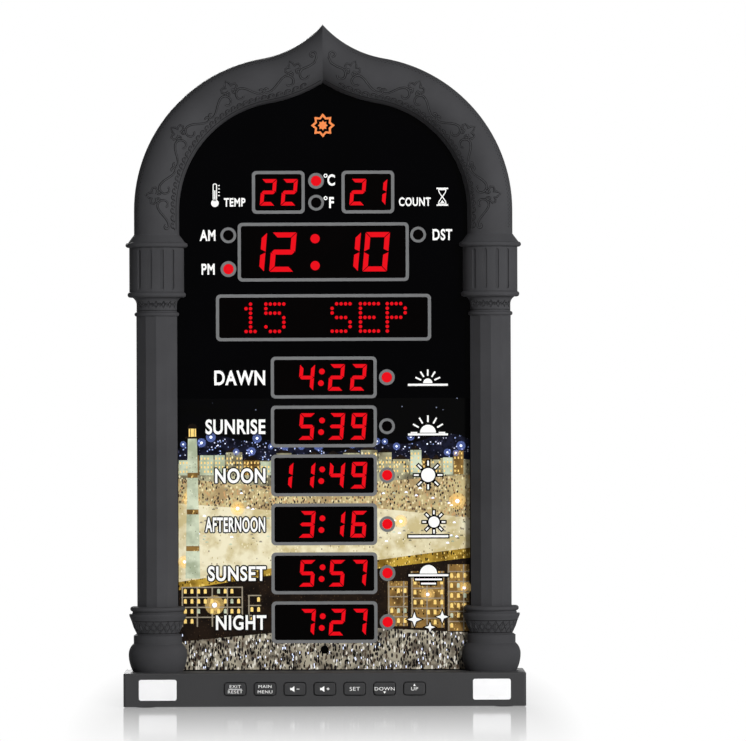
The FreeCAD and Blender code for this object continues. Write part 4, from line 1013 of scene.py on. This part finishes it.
# Scrolls and fleurs, as distances along the moulding and round it
MITRE = REVERSE_START + 37.9
FLEUR_PITCH = 40.0
FLEUR_COUNT = 4
FORK = FLEUR_PITCH / 2
LINE_WIDTH = 0.75
FLEUR_HALF = [(-1.0, 0.2), (-3.2, -0.2), (-4.9, 1.2), (-4.4, 3.0), (-2.9, 3.3), (-1.7, 2.5),
              (-1.5, 4.4)]
FLEUR = FLEUR_HALF + [(0, 7.0)] + [(-along, across) for along, across in FLEUR_HALF[::-1]]
FLEUR_CURL = spiral(5.4, -5.4, 4.4, 1.2, math.pi / 2, 1.3 * math.pi, 22)[::-1]
INNER_CURL = spiral(2.2, -1.6, 1.9, 0.6, 0, 1.4 * math.pi, 12)
CREST_RUN = [(9.0, -1.5), (13.0, -1.4), (15.8, 0.4), (16.9, 2.8),
             *spiral(14.7, 3.2, 2.2, 0.8, 0, 1.5 * math.pi, 14)]
RUN_STEPS = 14
FORK_RUN = [(5.4 + (FORK - 7.2) * step / RUN_STEPS,
             -4.6 + 3.6 * math.cos(math.pi * step / RUN_STEPS)) for step in range(1, RUN_STEPS + 1)]
FORK_RUN += spiral(FORK - 1.8, -6.4, 1.8, 0.7, -math.pi / 2, 1.4 * math.pi, 14)
# The wave curls and the rail along the opening, and the dots along the outside; the rail and the
# dots are near-black, painted shade
BORDER_LEVEL = -11.4
BORDER_PITCH = 4.5
RAIL_STEPS = 90
DOT_LEVELS = (12.4, 13.9, 15.4, 16.9)
DOT_PITCH = 2.1


def mirrored(points, u, turn):
    return [(u + turn * along, across) for along, across in points]


def add_scroll(mesh, u, turn, place, crest):
    """A scroll from the curl beside a fleur to the fork halfway, or to the arch's point."""
    run = FLEUR_CURL + (CREST_RUN if crest else FORK_RUN)
    add_engraved(mesh, mirrored(run, u, turn), LINE_WIDTH, place)
    add_engraved(mesh, mirrored(INNER_CURL, u, turn), LINE_WIDTH * 0.7, place)


def make_arch_ornament(name, side):
    """Pairs of scrolls under fleurs, with a row of wave curls along the opening."""
    mesh = bmesh.new()
    place = arch_place(side)
    end = MITRE - 9
    rail = [3 + (end - 3) * step / RAIL_STEPS for step in range(RAIL_STEPS + 1)]
    add_ribbon(mesh, [(u, BORDER_LEVEL - 3.2) for u in rail], 0.6, place)
    for number in range(int((end - 6) / BORDER_PITCH)):
        u = 5.5 + BORDER_PITCH * number
        curl = spiral(u, BORDER_LEVEL, 1.9, 0.5, math.pi * 1.15, -1.7 * math.pi, 12)
        tail = [(u - 2.9, BORDER_LEVEL - 1.9), (u - 2.3, BORDER_LEVEL - 1.8)]
        add_engraved(mesh, tail + curl, 0.45, place)
    for number in range(FLEUR_COUNT):
        u = MITRE - FORK - FLEUR_PITCH * number
        add_engraved(mesh, mirrored(FLEUR, u, 1), LINE_WIDTH * 0.8, place)
        for turn in (-1, 1):
            add_scroll(mesh, u, turn, place, crest=number == 0 and turn > 0)
    for row, level in enumerate(DOT_LEVELS):
        for number in range(int((end - 4) / DOT_PITCH)):
            u = 4 + DOT_PITCH * (number + row / 2 % 1)
            add_petal(mesh, u - 0.35, level, 0, 0.8, 0.8, place, 1, 0.12)
    finish_relief(name, mesh)


# Heights over a node's foot and radii of the turned parts
RING_MIDDLE_RADIUS = 15.0
CUP_PROFILE = ((22.7, 12.7), (33.4, 17.1))
CUP_LOW, CUP_HIGH = 23.6, 29.8
NECK_PROFILE = ((2.6, 12.1), (6.95, 12.1), (8.4, 12.31), (9.8, 12.98), (10.6, 13.67),
                (11.3, 14.6))
LATTICE_HALF = 2.2
NECK_PITCH = 5.6
NECK_MIDDLE = 7.0


def turned_place(node, profile):
    """Maps (distance round, height over the node's foot, height off it) to a turned surface."""
    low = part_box(node)[0]
    centre = math.copysign(COLUMN_X, low[0])
    foot = low[2] / MM

    def place(u, v, height):
        for (low_v, low_r), (high_v, high_r) in zip(profile, profile[1:]):
            if v <= high_v:
                break
        radius = low_r + (high_r - low_r) * (v - low_v) / (high_v - low_v)
        angle = u / RING_MIDDLE_RADIUS
        return ((centre + (radius + height) * math.sin(angle)) * MM,
                -(radius + height) * math.cos(angle) * MM, (foot + v) * MM)
    return place


def add_diamond(mesh, u, v, half, half_rise, line, place):
    corners = [(u - half, v), (u, v - half_rise), (u + half, v), (u, v + half_rise)]
    add_engraved(mesh, corners, line, place, closed=True)


def add_circuit(mesh, level, width, place):
    """A near-black band round a turned part, painted shade of a cut line."""
    add_ribbon(mesh, [(step * 1.1, level) for step in range(-20, 21)], width, place)


def make_cup_ornament(side):
    """A lattice of diamonds round the cup, with a leaf in each, between two thin lines."""
    place = turned_place(f"pedestal_{side}", CUP_PROFILE)
    mesh = bmesh.new()
    for number in range(-5, 5):
        u = 2 * LATTICE_HALF * (number + 0.5)
        add_diamond(mesh, u, (CUP_LOW + CUP_HIGH) / 2, LATTICE_HALF, (CUP_HIGH - CUP_LOW) / 2, 0.5,
                    place)
        add_leaf(mesh, u, CUP_LOW + 1.4, math.pi / 2, 3.4, 1.2, place)
    for level in (CUP_LOW - 0.5, CUP_HIGH + 0.6):
        add_circuit(mesh, level, 0.5, place)
    finish_relief(f"cup_ornament_{side}", mesh)


def make_neck_ornament(side):
    """Small diamonds and curls under the capital's lower ring."""
    place = turned_place(f"capital_{side}", NECK_PROFILE)
    mesh = bmesh.new()
    for number in range(-3, 4):
        u = NECK_PITCH * number
        add_diamond(mesh, u, NECK_MIDDLE, 1.3, 1.8, 0.4, place)
        if number < 3:
            curl = (u + NECK_PITCH / 2, NECK_MIDDLE - 0.2, 1.1, 0.3, math.pi, -1.7 * math.pi, 10)
            add_engraved(mesh, spiral(*curl), 0.35, place)
    add_circuit(mesh, 3.6, 0.45, place)
    finish_relief(f"neck_ornament_{side}", mesh)


for side_name, side_sign in (("left", -1), ("right", 1)):
    make_arch_ornament(f"arch_ornament_{side_name}", side_sign)
    make_cup_ornament(side_name)
    make_neck_ornament(side_name)


# Button legends, which ride on their buttons

LEGEND_LIFT = 0.01
LEGEND_WORDS = (("exit", 1.8, "EXIT", "RESET"), ("menu", 1.8, "MAIN", "MENU"),
                ("set", 2.2, "SET"), ("down", 2.0, "DOWN"), ("up", 2.0, "UP"))
LINE_LEVELS = {1: (0,), 2: (1.6, -1.6)}
SPEAKER = [(-2.8, -0.7), (-1.8, -0.7), (-0.3, -1.8), (-0.3, 1.8), (-1.8, 0.7), (-2.8, 0.7)]
MINUS = bar_points(1.9, 0, 1.6, 0.4)
LEGEND_MARKS = {
    "exit": [bar_points(0, 0, 8.0, 0.3)],
    "down": [[(-0.8, -1.6), (0, -2.9), (0.8, -1.6)]],
    "up": [[(-0.8, 1.6), (0.8, 1.6), (0, 2.9)]],
    "volume_down": [SPEAKER, MINUS],
    "volume_up": [SPEAKER, MINUS, bar_points(1.9, 0.5, 0.4, 0.6), bar_points(1.9, -0.5, 0.4, 0.6)],
}


def button_face(button):
    """Middle of a button in x and z, and the depth of its face."""
    return (*node_centre(f"button_{button}"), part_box(f"button_{button}")[0][1] / MM)


def make_legends():
    for button, rise, *lines in LEGEND_WORDS:
        x, z, face = button_face(button)
        for number, (line, level) in enumerate(zip(lines, LINE_LEVELS[len(lines)])):
            text_piece(f"legend_{button}_{number}", line, x, z + level, rise,
                       body=f"{button}_button", depth=face - LEGEND_LIFT / 2, squeeze=1.2,
                       bold=-0.004, slot="button_plastic")
    for button, shapes in LEGEND_MARKS.items():
        x, z, face = button_face(button)
        mesh = bmesh.new()
        for points in shapes:
            add_slab(mesh, placed(points, x, z), face - LEGEND_LIFT, face + LEGEND_LIFT)
        finish_piece(f"legend_{button}_marks", mesh, [print_white], f"{button}_button")


make_legends()


# The stage, lamps and camera. Places and sizes here are in metres.

FLOOR_NEAR = (0.119, 0.03, 0)   # the floor within this reach of the middle reflects the clock
FLOOR_FADE = (34, 2.6, 0)       # how fast it turns white beyond that, for each metre
WORLD_LEVEL = 0.04
# Lamps: place, size, watts
LAMPS = {"key": ((1.05, -2.55, 0.9), (0.4, 0.6), 62), "side": ((2.2, -0.45, 0.5), (0.4, 1.4), 18),
         "top": ((0.0, -0.7, 2.0), (1.2, 0.6), 5), "back": ((-0.5, 2.6, 1.1), (0.6, 0.8), 40)}
LAMP_AIM = Vector((0, 0, 0.2))
SENSOR_MM = 36


def make_stage():
    """A glossy floor that turns to plain white away from the clock."""
    floor_mesh = bmesh.new()
    bmesh.ops.create_grid(floor_mesh, x_segments=4, y_segments=4, size=12)
    data = bpy.data.meshes.new("floor")
    floor_mesh.to_mesh(data)
    floor_mesh.free()
    floor = add_object("floor", data)
    material, tree, shader = new_material("pale_floor", Roughness=0.09, Specular_IOR_Level=1.0,
                                          IOR=1.9, Base_Color=grey(0.42))
    reach = add_node(tree, "TexCoord").outputs["Object"]
    for operation, *others in (("ABSOLUTE",), ("SUBTRACT", FLOOR_NEAR), ("MAXIMUM", (0, 0, 0)),
                               ("MULTIPLY", FLOOR_FADE)):
        reach = math_node(tree, "VectorMath", operation, reach, *others)["Vector"]
    distance = math_node(tree, "VectorMath", "LENGTH", reach)["Value"]
    fade = ramp_node(tree, distance, (0, 1), (grey(0.3), grey(1)))
    ray = add_node(tree, "LightPath").outputs
    seen = math_node(tree, "Math", "MAXIMUM", ray["Is Camera Ray"], ray["Is Glossy Ray"])[0]
    share = math_node(tree, "Math", "MULTIPLY", seen, fade)[0]
    white = add_node(tree, "Emission", Color=grey(1), Strength=1.0).outputs["Emission"]
    mix = add_node(tree, "MixShader", Fac=share)
    feed(tree, mix.inputs[1], shader.outputs["BSDF"])
    feed(tree, mix.inputs[2], white)
    set_inputs(tree, tree.nodes["Material Output"], Surface=mix.outputs["Shader"])
    data.materials.append(material)


def make_world():
    """White to the camera and in reflections, and dim as a light."""
    world = bpy.data.worlds.new("studio")
    bpy.context.scene.world = world
    world.use_nodes = True
    tree = world.node_tree
    ray = add_node(tree, "LightPath").outputs
    shown = math_node(tree, "Math", "MAXIMUM", ray["Is Camera Ray"], ray["Is Transmission Ray"])[0]
    shown = math_node(tree, "Math", "MAXIMUM", shown, ray["Is Glossy Ray"])[0]
    strength = add_node(tree, "MapRange", Value=shown, To_Min=WORLD_LEVEL, To_Max=1.0)
    set_inputs(tree, tree.nodes["Background"], Color=grey(1), Strength=strength.outputs["Result"])


def make_lights():
    for name, (place, size, watts) in LAMPS.items():
        data = bpy.data.lights.new(name, "AREA")
        data.shape = "RECTANGLE"
        data.size, data.size_y = size
        data.energy = watts
        lamp = add_object(name, data)
        lamp.location = place
        lamp.rotation_euler = (LAMP_AIM - Vector(place)).to_track_quat("-Z", "Y").to_euler()


def make_camera():
    """A level view square to the front; the shift places the clock left of the middle."""
    base_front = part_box("base_housing")[0][1]
    data = bpy.data.cameras.new("camera")
    data.sensor_width = SENSOR_MM
    data.lens = (CAMERA_DISTANCE + base_front) / (PIXEL_MM * MM) * SENSOR_MM / PHOTO_WIDTH
    data.shift_x = (PHOTO_MIDDLE_X - CLOCK_MIDDLE_X) / PHOTO_WIDTH
    data.clip_end = 60
    camera = add_object("camera", data)
    height = (BASE_BOTTOM_Y - PHOTO_MIDDLE_Y) * PIXEL_MM + BASE_BOTTOM_MM
    camera.location = (0, -CAMERA_DISTANCE, height * MM)
    camera.rotation_euler = (math.pi / 2, CAMERA_ROLL, 0)
    bpy.context.scene.camera = camera
    bpy.context.scene.view_settings.view_transform = "Standard"


make_stage()
make_world()
make_lights()
make_camera()
